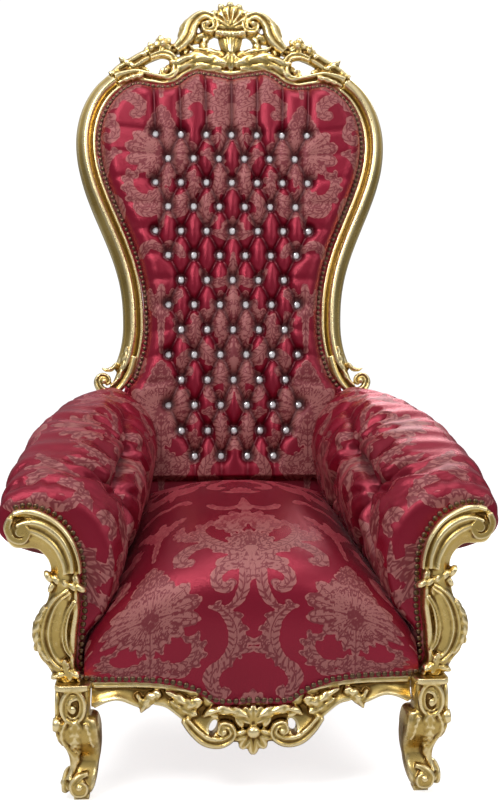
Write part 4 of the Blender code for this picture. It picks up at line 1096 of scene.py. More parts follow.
front_leg = mesh_object("front_leg_carved_right", leg_parts())
fuse(front_leg, 0.0015, 2)
keep_within(front_leg, (LEG_INNER - 0.021, FRONT_LIMIT_Y, 0.0), (0.347, 1.0, LEG_HEIGHT))
leg_places = coordinates(front_leg)
beside_rail = leg_places[:, 2] > 0.735 * LEG_HEIGHT
leg_places[beside_rail, 0] = np.maximum(leg_places[beside_rail, 0], LEG_INNER)
leg_places[beside_rail, 1] = np.minimum(leg_places[beside_rail, 1], FRONT_LEG_Y + LEG_HALF)
set_coordinates(front_leg, leg_places)
mark_hollows(front_leg)
hang_both(front_leg, GOLD, "gold_leaf", "front_leg")

# %% [markdown]
# ## Front rail
# The rail bows forward and dips in the middle to a cartouche: a flower with petals below
# it, two volutes with eyes, leaves above and two small pierced holes. A moulded rim runs
# along its lower edge and leaf sprays mark where it rises towards the legs.

# %% Front rail
RAIL_TOP_LINE = flow(((0, -37), (35, -40), (66, -38), (86, -25), (117, -11), (150, -4), (205, 0), (290, 0)), 8)
RAIL_LOW_LINE = flow(((0, -112), (36, -109), (63, -112), (86, -102), (106, -83), (123, -63), (150, -46),
                      (173, -40), (190, -50), (233, -34), (254, -36), (290, -48)), 8)


def rail_top(x):
    """Height of the front rail's top edge."""
    share = np.minimum(np.abs(x) / LEG_INNER, 1.0) * RAIL_GRID_HALF
    return RAIL_TOP + np.minimum(np.interp(share, *RAIL_TOP_LINE.T), 0) * MILLIMETRE


def rail_low(x):
    """Height of the front rail's lower edge."""
    return RAIL_TOP + np.interp(np.abs(x) / LEG_INNER * RAIL_GRID_HALF, *RAIL_LOW_LINE.T) * MILLIMETRE


def rail_body():
    """The rail's moulded body from its left end to its right end."""
    section = flow(((0, 1.0), (0, 0.12), (0.10, 0.0), (0.2, 0.04), (0.34, 0.20), (0.55, 0.14), (0.7, 0.02),
                    (0.80, -0.10), (0.9, -0.16), (0.97, -0.06), (1, 0.12), (1, 1.0)), 4)
    rings = []
    for x in np.linspace(GAP - LEG_INNER, LEG_INNER - GAP, 150):
        high, low = rail_top(x), rail_low(x)
        z = high + (low - high) * np.clip(section[:, 0], 0, 1)
        y = rail_front(x) + FRONT_RAIL_DEPTH * np.minimum(section[:, 1], 1.0)
        rings.append(np.stack((np.full(len(z), x), y, z), axis=1))
    return loft(rings)


def on_rail(x, z, depth):
    """Place on the front rail, some way behind its face."""
    px, pz = rail_grid(x, z)
    return np.array((px, float(rail_front(px)) + depth, pz))


RAIL = (on_rail, FORWARD, UP, MILLIMETRE)


def rail_side():
    """The rail's right half: volute, leaves and sprays, a drop where it rises, and its rims."""
    parts = carve(RAIL, (
        ("scroll", 1, 0.000, 0.012, ((120, -66, 9), (104, -86, 11), (84, -103, 12), (62, -108, 12), (45, -103, 10.5),
                                     (36, -92, 9), (41, -80, 8), (54, -77, 7), (59, -88, 6), (51, -93, 5))),
        ("leaf", 3, 0.001, 0.011, ((12, -60, 9), (32, -54, 12), (54, -50, 11), (74, -53, 8), (88, -62, 2))),
        ("leaf", 4, 0.002, 0.009, ((90, -32, 9), (108, -42, 12.5), (124, -35, 11), (140, -24, 7.5), (154, -18, 2))),
        ("leaf", 3, 0.002, 0.008, ((98, -58, 7), (112, -56, 9), (128, -46, 7), (146, -34, 2))),
        ("leaf", 4, 0.002, 0.009, ((162, -20, 8), (180, -30, 11), (191, -44, 8), (197, -55, 2))),
        ("leaf", 3, 0.003, 0.008, ((204, -22, 4), (197, -34, 6), (188, -46, 4))),
        ("round", 1, 0.000, 0.006, ((122, -66, 3), (150, -44, 3.5), (172, -38, 3.5))),
        ("round", 1, 0.000, 0.006, ((202, -42, 3.5), (232, -31, 3.5), (254, -33, 3.5), (279, -44, 3.5))),
        ("round", 1, 0.003, 0.005, ((98, -20, 3), (124, -16, 3.4), (150, -12, 3.2), (190, -9, 3), (240, -9, 3),
                                    (279, -10, 3)))))
    return parts + [lobe(RAIL, *row) for row in ((51, -89, -0.006, 0, 0.0055, 0.0055, 0.007),
                                                 (69, -60, -0.002, 60, 0.010, 0.005, 0.008, 0.3),
                                                 (24, -72, -0.002, 35, 0.012, 0.0062, 0.009, 0.4),
                                                 (88, -92, -0.003, 45, 0.008, 0.004, 0.009))]


def rail_flower():
    """Ball, petals and crown leaves in the middle of the rail."""
    parts = [lobe(RAIL, 0, -89, -0.006, 0, 0.0115, 0.0125, 0.0115)]
    for lean in (-72, -36, 0, 36, 72):
        turn = math.radians(180 - lean)
        reach = 26 if lean == 0 else 22
        parts.append(lobe(RAIL, math.sin(turn) * reach, -89 + math.cos(turn) * reach, -0.001, 180 - lean,
                          0.0165, 0.0106, 0.0095, 0.5))
    for lean, size in ((-62, 0.019), (-30, 0.018), (0, 0.017), (30, 0.018), (62, 0.019)):
        turn = math.radians(lean)
        parts.append(lobe(RAIL, math.sin(turn) * 15, -74 + math.cos(turn) * 16, -0.001, lean, size, 0.0086, 0.010, 0.4))
    return parts


def rail_hole():
    """Cutter of the pierced hole on the right."""
    x, z = rail_grid(70, -84)
    ring = [(x + 0.0078 * math.cos(a) - 0.003 * math.sin(a), z + 0.0135 * math.sin(a))
            for a in np.linspace(0, 2 * math.pi, 20, endpoint=False)]
    return loft([np.array([(px, y, pz) for px, pz in ring]) for y in (-0.45, -0.30)])


front_rail = mesh_object("front_rail_carved", [rail_body()] + rail_side() + mirror_parts(rail_side()) + rail_flower())
fuse(front_rail, 0.0017, 2)
hole_tool = mesh_object("hole_tool", [rail_hole()] + mirror_parts([rail_hole()]))
outward(hole_tool)
apply_modifier(front_rail, "BOOLEAN", operation="DIFFERENCE", object=hole_tool, solver="FAST")
bpy.data.objects.remove(hole_tool)
rail_places = coordinates(front_rail)
rail_places[:, 0] = np.clip(rail_places[:, 0], GAP - LEG_INNER, LEG_INNER - GAP)
rail_places[:, 2] = np.minimum(rail_places[:, 2], rail_top(rail_places[:, 0]))
rail_places[:, 1] = np.maximum(rail_places[:, 1], FRONT_LIMIT_Y)
set_coordinates(front_rail, rail_places)
mark_hollows(front_rail)
hang_on(front_rail, GOLD, "gold_leaf", "front_rail")

# %% [markdown]
# ## Side rails and rear rail
# The sides and the rear are plainer, as on the real thing: a shaped lower edge with one bead
# on the sides and a flat board behind. The side rail is lofted from its section. The rear
# rail starts as a cube that is scaled, bevelled and then subdivided.

# %% Side and rear rails
def rail_outer(s):
    """Outer half width of the seat frame, from the front leg at 0 to the rear post at 1."""
    return LEG_OUTER - 0.004 + (POST_INNER + POST_WIDTH - LEG_OUTER + 0.004) * s


def side_rail():
    """Right side rail with a shaped lower edge and a bead along it."""
    start = FRONT_LEG_Y + LEG_HALF + GAP
    end = on_back(0, POST_JOINT_Z, POST_FRONT)[1] - GAP
    rings = []
    for s in np.linspace(0, 1, 90):
        x1 = rail_outer(s)
        low = RAIL_TOP - RAIL_HEIGHT * (0.86 - 0.14 * math.cos(2 * math.pi * s))
        section = flow(((x1 - 0.028, RAIL_TOP), (x1 - 0.004, RAIL_TOP), (x1 - 0.001, RAIL_TOP - 0.003),
                        (x1 - 0.002, RAIL_TOP - 0.010), (x1 - 0.005, (RAIL_TOP + low) / 2), (x1 - 0.005, low + 0.013),
                        (x1 - 0.001, low + 0.010), (x1 + 0.0005, low + 0.006), (x1 - 0.002, low + 0.001),
                        (x1 - 0.006, low), (x1 - 0.028, low)), 4)
        y = start + (end - start) * s
        rings.append(np.stack((section[:, 0], np.full(len(section), y), section[:, 1]), axis=1))
    return loft(rings)


side_board = mesh_object("side_rail_shaped_right", [side_rail()])
outward(side_board)
mark_hollows(side_board, 0.0012, 12)
hang_both(side_board, GOLD, "gold_leaf", "side_rail")

low_corner, high_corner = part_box("rear_rail")
clear_selection()
bpy.ops.mesh.primitive_cube_add(size=1, location=(low_corner + high_corner) / 2)
rear_board = bpy.context.object
rear_board.name = "rear_rail_board"
rear_board.scale = high_corner - low_corner
bpy.ops.object.transform_apply(location=True, rotation=True, scale=True)
edit_all(rear_board)
bpy.ops.mesh.bevel(offset=0.003, segments=3, affect="EDGES")
bpy.ops.mesh.select_all(action="SELECT")
bpy.ops.mesh.subdivide(number_cuts=4)
bpy.ops.object.mode_set(mode="OBJECT")
mark_hollows(rear_board, 0.0012, 8)
hang_on(rear_board, GOLD, "gold_leaf", "rear_rail")

# %% [markdown]
# ## The damask
# Damask is one silk with two faces: a shiny satin ground and a duller figure of flowers and
# leaves. The figure is traditional: a palmette between scrolling leaves on one axis and a
# full blossom on the other, mirrored from side to side and dropped by half. It is drawn here
# as fronds: strokes with a toothed edge and veins. For each point of one repeat the
# distance inside the nearest frond is kept, because a distance stays sharp when it is
# spread over a mesh and cut at nought in the material. A second number is nought on
# the veins.

# %% One repeat of the damask
REPEAT_HALF = 0.1725
REPEAT_DROP = 0.600
CELL = 0.0008
columns = np.arange(0, REPEAT_HALF + CELL, CELL)
lines = np.arange(0, REPEAT_DROP, CELL)
GRID_X, GRID_Y = np.meshgrid(columns, lines)
FIGURE = np.full(GRID_X.shape, -0.01)
VEIN = np.ones(GRID_X.shape)
FULLNESS = 1.12


def frond(rows, teeth=0, bite=0.3, ribs=70.0):
    """Lays a frond of (x, y, half width) rows in mm on the repeat, with its teeth and veins."""
    run = flow(np.array(rows) / 1000.0, 5)
    run[:, 2] *= FULLNESS
    lengths = np.linalg.norm(np.diff(run[:, :2], axis=0), axis=1)
    total = max(lengths.sum(), 1e-6)
    for lift in (-REPEAT_DROP, 0, REPEAT_DROP):
        near = np.where((lines > run[:, 1].min() + lift - 0.03) & (lines < run[:, 1].max() + lift + 0.03))[0]
        if len(near) == 0:
            continue
        band = slice(near[0], near[-1] + 1)
        px, py = GRID_X[band], GRID_Y[band] - lift
        best, mark, gone = np.full(px.shape, -1.0), np.ones(px.shape), 0.0
        for i, length in enumerate(lengths):
            dx, dy = run[i + 1, :2] - run[i, :2]
            t = np.clip(((px - run[i, 0]) * dx + (py - run[i, 1]) * dy) / max(length ** 2, 1e-12), 0, 1)
            ox, oy = px - run[i, 0] - t * dx, py - run[i, 1] - t * dy
            off = np.hypot(ox, oy)
            half = run[i, 2] + t * (run[i + 1, 2] - run[i, 2])
            share = (gone + t * length) / total
            gone += length
            out = off / np.maximum(half, 1e-4)
            if teeth:
                half = half * (1 - bite * ((share * teeth + 0.35 * out) % 1.0))
            better = half - off > best
            best = np.where(better, half - off, best)
            middle = off * np.sign(ox * dy - oy * dx) * 420
            side = np.sin(math.pi * (share * total * ribs + 0.8 * out)) + 0.2
            mark = np.where(better, np.where(out < 0.24, middle, side), mark)
        before = FIGURE[band]
        both = (best > 0.0015) & (before > 0.0015)
        top = best > before
        VEIN[band] = np.where(top & (best > -0.002), mark, VEIN[band])
        VEIN[band] = np.where(both, np.minimum(np.abs(VEIN[band]), np.abs(best - before) * 420), VEIN[band])
        FIGURE[band] = np.maximum(before, best)


def damask_petal(x, y, lean, length, width, teeth=0):
    """A pointed petal that starts at a point and leans from upright."""
    turn = math.radians(lean)
    rows = [(x + math.sin(turn) * length * s, y + math.cos(turn) * length * s, width * w)
            for s, w in ((0, 0.3), (0.25, 0.8), (0.5, 1), (0.75, 0.85), (0.93, 0.4), (1, 0.08))]
    frond(rows, teeth, 0.26, 80.0)


def acanthus(rows, lobes, reach, side, spread=42):
    """A leaf along a curved spine with pointed lobes on one side of it, or on both for side 0."""
    frond(rows, 0, 0.0, 80.0)
    run = flow(np.array(rows, float), 6)
    for k in range(lobes):
        i = int((k + 0.6) / lobes * (len(run) - 2))
        dx, dy = run[i + 1, :2] - run[i, :2]
        heading = math.degrees(math.atan2(dx, dy))
        size = reach * (0.75 + 0.35 * math.sin(math.pi * (k + 0.7) / lobes))
        for turn in ((side,) if side else (-1, 1)):
            damask_petal(*run[i, :2], heading + turn * spread, size + run[i, 2] * 0.6, size * 0.30)


def draw_palmette():
    """Palmette, its cup of leaves, and the scrolling leaves around it."""
    for lean, length, width in ((0, 74, 12), (24, 70, 13), (48, 66, 14), (72, 62, 14), (98, 54, 13), (124, 44, 11)):
        turn = math.radians(lean)
        damask_petal(8 * math.sin(turn), 466 + 8 * math.cos(turn), lean, length, width, 6)
    for lean, length, width in ((0, 60, 7), (16, 62, 7), (34, 58, 8), (56, 50, 10), (78, 40, 9)):
        damask_petal(2, 386, lean, length, width, 4 if lean > 40 else 0)
    acanthus([(4, 366, 12), (32, 376, 13), (60, 392, 13), (82, 416, 12), (92, 444, 10), (86, 468, 8), (70, 478, 7),
              (60, 468, 5)], 8, 20, 1)
    acanthus([(96, 420, 7), (118, 438, 9), (130, 462, 9), (128, 486, 5)], 5, 14, 1)
    acanthus([(84, 398, 8), (106, 392, 11), (122, 376, 12), (118, 358, 10), (104, 356, 7)], 4, 12, -1)
    acanthus([(6, 362, 14), (30, 350, 12), (54, 346, 8)], 4, 18, 1)


def draw_stem():
    """Stem, volutes, crescent leaves and the crown flower on the first axis."""
    frond([(0, 372, 17), (0, 350, 22), (0, 330, 17), (0, 318, 8)])
    frond([(12, 340, 9), (36, 338, 9), (58, 326, 9), (62, 306, 9), (48, 295, 9), (36, 303, 7)])
    frond([(14, 326, 9), (15, 300, 9), (24, 276, 8), (38, 262, 5)])
    acanthus([(74, 264, 3), (54, 258, 7), (36, 240, 11), (28, 212, 13), (34, 184, 11), (50, 160, 9)], 7, 17, 1, 50)
    frond([(28, 214, 7), (12, 204, 6), (0, 200, 5)])
    frond([(30, 190, 6), (14, 184, 6), (0, 188, 4)])
    acanthus([(50, 162, 9), (66, 146, 11), (72, 124, 12), (60, 106, 11), (46, 110, 8)], 5, 13, 1)
    for lean in (0, 28, 56, 84):
        damask_petal(0, 78, lean, 34 - lean * 0.08, 8, 3)
    frond([(0, 74, 10), (24, 70, 8), (44, 76, 4)])
    frond([(0, 560, 16), (0, 585, 12), (0, 600, 8), (0, 625, 3)], 5, 0.3)
    acanthus([(16, 566, 7), (40, 556, 8), (64, 566, 7), (78, 586, 4)], 5, 14, -1)


def draw_blossom():
    """Full blossom on the second axis, with the buds above and the leaves below it."""
    x, y = 172.5, 262
    for lean, length, width in ((8, 60, 13), (30, 66, 15), (54, 74, 17), (78, 80, 18), (102, 78, 17), (128, 64, 14),
                                (150, 60, 9), (166, 74, 9), (180, 84, 9)):
        turn = math.radians(lean)
        damask_petal(x - 6 * math.sin(turn), y + 6 * math.cos(turn), -lean, length, width, 7 if lean < 140 else 0)
    for lean, length in ((20, 40), (60, 44), (100, 42), (140, 38)):
        damask_petal(x, y, -lean, length, 9, 5)
    for px, py, size in ((172.5, 338, 26), (154, 332, 20), (142, 314, 16), (160, 352, 15), (172.5, 366, 16)):
        for lean in (0, 60, 120, 180, 240, 300):
            damask_petal(px, py, lean + px, size * 0.62, size * 0.30)
    acanthus([(166, 168, 9), (148, 152, 11), (124, 150, 12), (104, 164, 11), (94, 188, 9), (100, 208, 7),
              (112, 208, 5)], 8, 17, -1)
    for lean, length in ((0, 40), (20, 42), (44, 44), (70, 42)):
        damask_petal(x, 138, -lean, length, 8, 4 if lean > 40 else 0)
    acanthus([(168, 134, 9), (146, 122, 9), (126, 122, 8), (112, 134, 5)], 5, 13, 1)
    frond([(172.5, 140, 12), (172.5, 118, 8), (172.5, 92, 4)])
    acanthus([(172.5, 36, 6), (152, 46, 8), (132, 38, 8), (120, 22, 5)], 5, 13, -1)
    acanthus([(172.5, 470, 4), (160, 500, 8), (146, 524, 9), (128, 536, 6)], 5, 14, 0)
    frond([(172.5, 400, 4), (172.5, 440, 6), (172.5, 480, 8), (172.5, 520, 12), (172.5, 548, 6)], 6, 0.3)


draw_palmette()
draw_stem()
draw_blossom()
print("share of the repeat that is figure:", round(float((FIGURE > 0).mean()), 2))


# %% Laying the damask on a mesh
def sample(table, u, v):
    """Values of a repeat's table at cloth places, between its cells."""
    across = np.abs((u + REPEAT_HALF) % (2 * REPEAT_HALF) - REPEAT_HALF) / CELL
    along = (v % REPEAT_DROP) / CELL
    i, j = np.minimum(across.astype(int), table.shape[1] - 2), along.astype(int) % table.shape[0]
    fx, fy, k = np.clip(across - i, 0, 1), along - along.astype(int), (j + 1) % table.shape[0]
    low = table[j, i] * (1 - fx) + table[j, i + 1] * fx
    return low * (1 - fy) + (table[k, i] * (1 - fx) + table[k, i + 1] * fx) * fy


def lay_damask(obj, cloth, painted_shade=None, spread=0.0):
    """Writes cloth places, one a point or one a face corner, as the UV map, with figure, veins and the painted shade of
    folds.
    """
    mesh = obj.data
    if painted_shade is not None:
        write(obj, "painted_shade", painted_shade)
    if len(cloth) == len(mesh.vertices):
        cloth = cloth[read(mesh.loops, "vertex_index", 1, np.int32)]
    mesh.uv_layers.new(name="cloth").data.foreach_set("uv", cloth.astype(np.float32).ravel())
    write(obj, "figure", np.clip(sample(FIGURE, *cloth.T) * 1000, -6, 6) + spread, "CORNER")
    write(obj, "vein", sample(VEIN, *cloth.T), "CORNER")


def tinted(colour, share):
    """A colour made darker or brighter."""
    return tuple(min(1, c * share) for c in colour[:3]) + (1,)


def satin_damask(name, ground, deep, rose, vein_colour):
    """Satin ground and duller figure, with veins, fine specks, weave and a soft sheen, plus a painted sheen on the
    figure at grazing angles and painted shade in folds and pits.
    """
    material, tree = new_material(name)
    figure, vein, painted_shade = (node(tree, "Attribute", attribute_name=label).outputs["Fac"]
                          for label in ("figure", "vein", "painted_shade"))
    cloth = node(tree, "UVMap", uv_map="cloth").outputs["UV"]
    scallops = ranged(tree, cells(tree, cloth, 120.0), 0.0, 1.0, 1.0, -1.6, "LINEAR")
    inside = ranged(tree, calculated(tree, "ADD", figure, scallops), -0.35, 0.35)
    veins = ranged(tree, calculated(tree, "ABSOLUTE", vein), 0.22, 0.60, 0.92, 0.0)
    dots = calculated(tree, "MULTIPLY", ranged(tree, cells(tree, cloth, 210.0), 0.16, 0.30, 0.7, 0.0),
                      ranged(tree, noise(tree, cloth, 38.0, 1.0), 0.53, 0.62))
    base = mix_colours(tree, noise(tree, cloth, 4.0, 2.0), deep, ground)
    hatch = node(tree, "TexWave", {"Vector": cloth, "Scale": 150.0, "Distortion": 6.0, "Detail": 1.0}).outputs["Fac"]
    ribbed = calculated(tree, "MULTIPLY", ranged(tree, figure, 0.4, 3.2, kind="LINEAR"), hatch)
    petals = mix_colours(tree, ribbed, rose, tinted(rose, 0.62))
    petals = mix_colours(tree, calculated(tree, "MAXIMUM", veins, dots), petals, vein_colour)
    # Painted sheen: towards grazing angles the figure is blended to a brighter copy of the ground colour.
    facing = node(tree, "LayerWeight", {"Blend": 0.5}).outputs["Facing"]
    petals = mix_colours(tree, ranged(tree, facing, 0.45, 0.95, 0.0, 0.65), petals, tinted(ground, 1.25))
    # Painted shade: the colour is drawn towards near black in creases, button pits and tufts, where shadow falls.
    colour = mix_colours(tree, painted_shade, mix_colours(tree, inside, base, petals), (0.022, 0.002, 0.003, 1))
    weave = node(tree, "Group", {"Cloth": cloth, "Threads": 5200.0}, node_tree=WEAVE).outputs
    raised = calculated(tree, "ADD", calculated(tree, "ADD", weave["Height"], weave["Slub"]), inside)
    return set_shader(material, {"Base Color": colour, "Normal": bumped(tree, raised, 0.25, 0.0002),
                                 "Metallic": ranged(tree, inside, 0.0, 1.0, 0.44, 0.08, "LINEAR"),
                                 "Roughness": ranged(tree, inside, 0.0, 1.0, 0.27, 0.46, "LINEAR"),
                                 "Sheen Weight": 0.06, "Sheen Roughness": 0.35,
                                 "Sheen Tint": (1.0, 0.62, 0.66, 1), "Specular Tint": (1.0, 0.50, 0.54, 1),
                                 "Specular IOR Level": 0.85})


DAMASK = satin_damask("satin_damask", (0.34, 0.007, 0.034, 1), (0.14, 0.003, 0.012, 1),
                      (0.39, 0.138, 0.125, 1), (0.13, 0.007, 0.014, 1))
print("finish:", DAMASK.name)

# %% Arm sections
def between(a, b, t):
    """A share of the way from one number to another."""
    return a + (b - a) * t


def seat_half_width(s):
    """Half width of the seat between the arms, from front to back."""
    return between(FOOT_HALF_SPAN - 0.002, ARM_IN_REAR + 0.004, s)


def arm_section(s):
    """Right arm's outline across, from its outside panel over the roll to its inner wall."""
    wall, full = rail_outer(s) - 0.003, math.sin(math.pi * s)
    out = between(ARM_OUT_FRONT, ARM_OUT_REAR, s) + ARM_SWELL * full
    inside = between(ARM_IN_FRONT, ARM_IN_REAR, s)
    foot = seat_half_width(s) + 3 * GAP
    top = between(ARM_TOP_FRONT, ARM_TOP_REAR, s) + ARM_ARCH * full
    under, drop = top - 0.100, between(0.27, 0.25, s)
    return np.array([(wall, UPHOLSTERY_BOTTOM), (wall + 0.004, between(UPHOLSTERY_BOTTOM, under, 0.5)),
                     (wall + 0.008, under - 0.016), (between(wall, out, 0.6), under), (out - 0.008, under + 0.018),
                     (out, under + 0.046), (out - 0.012, top - 0.018), (out - 0.045, top - 0.001),
                     (between(inside, out, 0.52), top), (inside + 0.062, top - 0.018),
                     (inside + 0.022, top - 0.060), (inside, top - 0.13),
                     (between(inside, foot, 0.25), top - 0.21), (foot, top - drop), (foot, UPHOLSTERY_BOTTOM)])


# %% [markdown]
# ## Deep-buttoned back
# In deep buttoning each crystal button pulls the cloth down to the webbing, and the spare
# cloth between them folds into straight creases. The creases run from button to button, up
# from the first row to the crest, and out to the sides. The pad starts as a fine grid that
# is cut to the outline. The distances to the nearest crease and the nearest button
# give its height, so that every crease is sharp and every puff is round.
# The same distances give the painted shade that darkens the creases and the pits round the buttons.

# %% Buttons and creases
def button_rows():
    """Centres of the buttons row by row, every other row shifted by half a step."""
    rows = []
    for r, z in enumerate(np.linspace(FIRST_ROW_Z, LAST_ROW_Z, BUTTON_ROWS)):
        room = min(inner_edge(z), SHOULDER_HALF) - 0.45 * BUTTON_PITCH
        limit = min(room, (3 if r < 5 else 2.5 if r < BUTTON_ROWS - 1 else 1.5) * BUTTON_PITCH) + 1e-6
        places = [(k + 0.5 * (r % 2)) * BUTTON_PITCH for k in range(-4, 5)]
        rows.append((z, [x for x in places if abs(x) <= limit]))
    return rows


def top_edge(x):
    """Height of the upholstery's top edge above a place across."""
    line = flow(np.array(opening_line()[len(stile_line()) + 2:]), 6)
    upper = line[line[:, 0].argsort()]
    return float(np.interp(abs(x), upper[:, 0], upper[:, 1]))


def creases():
    """Crease lines as (x0, z0, x1, z1, slackness) rows: slack ones are shallower."""
    rows, made = button_rows(), []
    index = {(r, round(x / BUTTON_PITCH * 2)): (x, z) for r, (z, places) in enumerate(rows) for x in places}
    for (r, c), (x, z) in index.items():
        for side in (-1, 1):
            if (r + 1, c + side) in index:
                made.append((x, z, *index[r + 1, c + side], 0.0))
    for x in rows[0][1]:
        made.append((x, rows[0][0], x * 1.03, top_edge(x), 0.0))
    for x in rows[-1][1]:
        made.append((x, rows[-1][0], x, rows[-1][0] - 0.06, 0.002))
    for z, places in rows:
        reach = inner_edge(z)
        if z > ARM_TOP_REAR - 0.02:
            last = max(places)
            for side in (-1, 1):
                made.append((side * last, z, side * reach, z + 0.05 * (z - 1.0), 0.004 + 0.05 * (reach - last)))
    return np.array(made)


def segment_gap(px, pz, x0, z0, x1, z1):
    """Distance from every place to one segment."""
    dx, dz = x1 - x0, z1 - z0
    t = np.clip(((px - x0) * dx + (pz - z0) * dz) / (dx * dx + dz * dz), 0, 1)
    return np.hypot(px - x0 - t * dx, pz - z0 - t * dz)


def smooth_grid(table, sigma):
    """A table blurred along both directions."""
    reach = int(3 * sigma) + 1
    weights = np.exp(-0.5 * (np.arange(-reach, reach + 1) / sigma) ** 2)
    weights /= weights.sum()
    for axis in (0, 1):
        table = np.apply_along_axis(lambda row: np.convolve(np.pad(row, reach, mode="edge"), weights, "valid"),
                                    axis, table)
    return table


def buttoned_height(px, pz, edge_gap):
    """Height of the buttoned surface in front of the leaning plane, and the painted shade of its creases and button
    pits.
    """
    crease, button = np.full(px.shape, 1.0), np.full(px.shape, 1.0)
    for x0, z0, x1, z1, slack in creases():
        crease = np.minimum(crease, segment_gap(px, pz, x0, z0, x1, z1) + slack)
    for z, places in button_rows():
        for x in places:
            button = np.minimum(button, np.hypot(px - x, pz - z))
    valley = 0.50 * (1 - np.exp(-(button / 0.015) ** 2))
    dome = np.sqrt(1 - (1 - np.minimum(crease / 0.026, 1)) ** 2)
    share = valley + (1 - valley) * smooth_grid(dome, 1.2) * (1 - np.exp(-(button / 0.0125) ** 2))
    height = PIT_FLOOR + (PUFF_DEPTH - PIT_FLOOR) * smooth_grid(share, 0.8)
    height -= 0.0040 * np.exp(-(crease / 0.0030) ** 2) * (button > 0.006)
    edge = np.sqrt(1 - (1 - np.clip((edge_gap - 0.010) / 0.034, 0, 1)) ** 2)
    height = EDGE_DEPTH + (height - EDGE_DEPTH) * edge
    wall = arm_section(1.0)[9:][::-1]
    reach = np.interp(pz, wall[:, 1], wall[:, 0], right=1.0)
    beside = np.clip((np.abs(px) - reach + 0.005) / 0.009, 0, 1)
    below = np.clip((SEAT_CROWN - 0.004 - pz) / 0.012, 0, 1)
    hidden = np.maximum(beside, below)
    hidden = hidden * hidden * (3 - 2 * hidden)
    # Painted shade: dark round each button and along each crease, fading out towards the edge.
    shade = np.maximum(0.94 * np.exp(-(button / 0.0145) ** 4), 0.80 * np.exp(-(crease / 0.0036) ** 2))
    return height * (1 - hidden) + np.minimum(height, SIDE_DEPTH) * hidden, shade * np.clip(edge_gap / 0.02, 0, 1)


# %% Back pad
PIT_FLOOR = 0.007
BACK_STEP = 0.0027
BACK_CLOTH_SCALE = (1.06, 1.02)
BACK_CLOTH_START = (0, 0.215)


def outline_grid(name, step, line):
    """A fine upright grid cut to an outline, with its rim drawn onto the outline."""
    wide, low, high = line[:, 0].max(), line[:, 1].min(), line[:, 1].max()
    columns_x, rows_z = int(2 * wide / step) + 2, int((high - low) / step) + 2
    clear_selection()
    bpy.ops.mesh.primitive_grid_add(x_subdivisions=columns_x, y_subdivisions=rows_z, size=1)
    sheet = bpy.context.object
    sheet.name = name
    places = coordinates(sheet)
    plan = np.stack((places[:, 0] * 2 * (wide + step / 2),
                     low + (places[:, 1] + 0.5) * (high - low + step / 2)), axis=1)
    _, gap, inside = outline_distance(plan, line)
    set_coordinates(sheet, np.stack((plan[:, 0], np.zeros(len(plan)), plan[:, 1]), axis=1))
    keep = inside & (gap > step * 0.35)
    bpy.context.tool_settings.mesh_select_mode = (True, False, False)
    for parts in (sheet.data.edges, sheet.data.polygons):
        parts.foreach_set("select", np.zeros(len(parts), bool))
    sheet.data.vertices.foreach_set("select", ~keep)
    bpy.ops.object.mode_set(mode="EDIT")
    bpy.ops.mesh.delete(type="VERT")
    bpy.ops.object.mode_set(mode="OBJECT")
    return sheet, columns_x, rows_z


def rim_vertices(obj):
    """Indices of the vertices on an open rim."""
    use = {}
    for polygon in obj.data.polygons:
        for key in polygon.edge_keys:
            use[key] = use.get(key, 0) + 1
    return sorted({k for key, times in use.items() if times == 1 for k in key})


def close_behind(obj, shift):
    """Extrudes the open rim by a shift and shuts it with one face."""
    choose(obj)
    bpy.ops.object.mode_set(mode="EDIT")
    bpy.ops.mesh.select_mode(type="EDGE")
    bpy.ops.mesh.select_all(action="DESELECT")
    bpy.ops.mesh.select_non_manifold(extend=False, use_wire=True, use_boundary=True, use_multi_face=False,
                                     use_non_contiguous=False, use_verts=False)
    bpy.ops.mesh.extrude_edges_move(TRANSFORM_OT_translate={"value": shift})
    bpy.ops.mesh.edge_face_add()
    bpy.ops.mesh.select_all(action="SELECT")
    bpy.ops.mesh.normals_make_consistent(inside=False)
    bpy.ops.object.mode_set(mode="OBJECT")


def wobble(u, v, seed, size, height):
    """Soft unevenness of stuffing over two directions."""
    chance = random.Random(seed)
    total = np.zeros_like(u)
    for _ in range(7):
        turn, phase, scale = chance.uniform(0, math.pi), chance.uniform(0, 6.3), size * chance.uniform(0.6, 1.6)
        total += np.sin((u * math.cos(turn) + v * math.sin(turn)) * 2 * math.pi / scale + phase)
    return total / 7 * height


BACK_LINE = flow(np.array(opening_line()), 4)
back_pad, columns_x, rows_z = outline_grid("back_upholstery", BACK_STEP, BACK_LINE)
wide, low, high = BACK_LINE[:, 0].max(), BACK_LINE[:, 1].min(), BACK_LINE[:, 1].max()
whole_x = np.linspace(-0.5, 0.5, columns_x + 1) * 2 * (wide + BACK_STEP / 2)
whole_z = low + np.linspace(0, 1, rows_z + 1) * (high - low + BACK_STEP / 2)
table_x, table_z = np.meshgrid(whole_x, whole_z)
flat_places = np.stack((table_x.ravel(), table_z.ravel()), axis=1)
_, gap, inside = outline_distance(flat_places, BACK_LINE)
height, shade = buttoned_height(table_x, table_z, np.where(inside, gap, 0).reshape(table_x.shape))
height += wobble(table_x, table_z, 4, 0.09, 0.0012)
places = coordinates(back_pad)
i = np.clip(np.rint((places[:, 0] - whole_x[0]) / (whole_x[1] - whole_x[0])).astype(int), 0, columns_x)
j = np.clip(np.rint((places[:, 2] - whole_z[0]) / (whole_z[1] - whole_z[0])).astype(int), 0, rows_z)
plan, lift = places[:, [0, 2]].copy(), height[j, i]
rim = rim_vertices(back_pad)
plan[rim] = outline_distance(plan[rim], BACK_LINE)[0]
lift[rim] = np.where(plan[rim, 1] < WAIST_Z - FLARE_DROP + 0.02, np.minimum(SIDE_DEPTH, 0.012), EDGE_DEPTH)
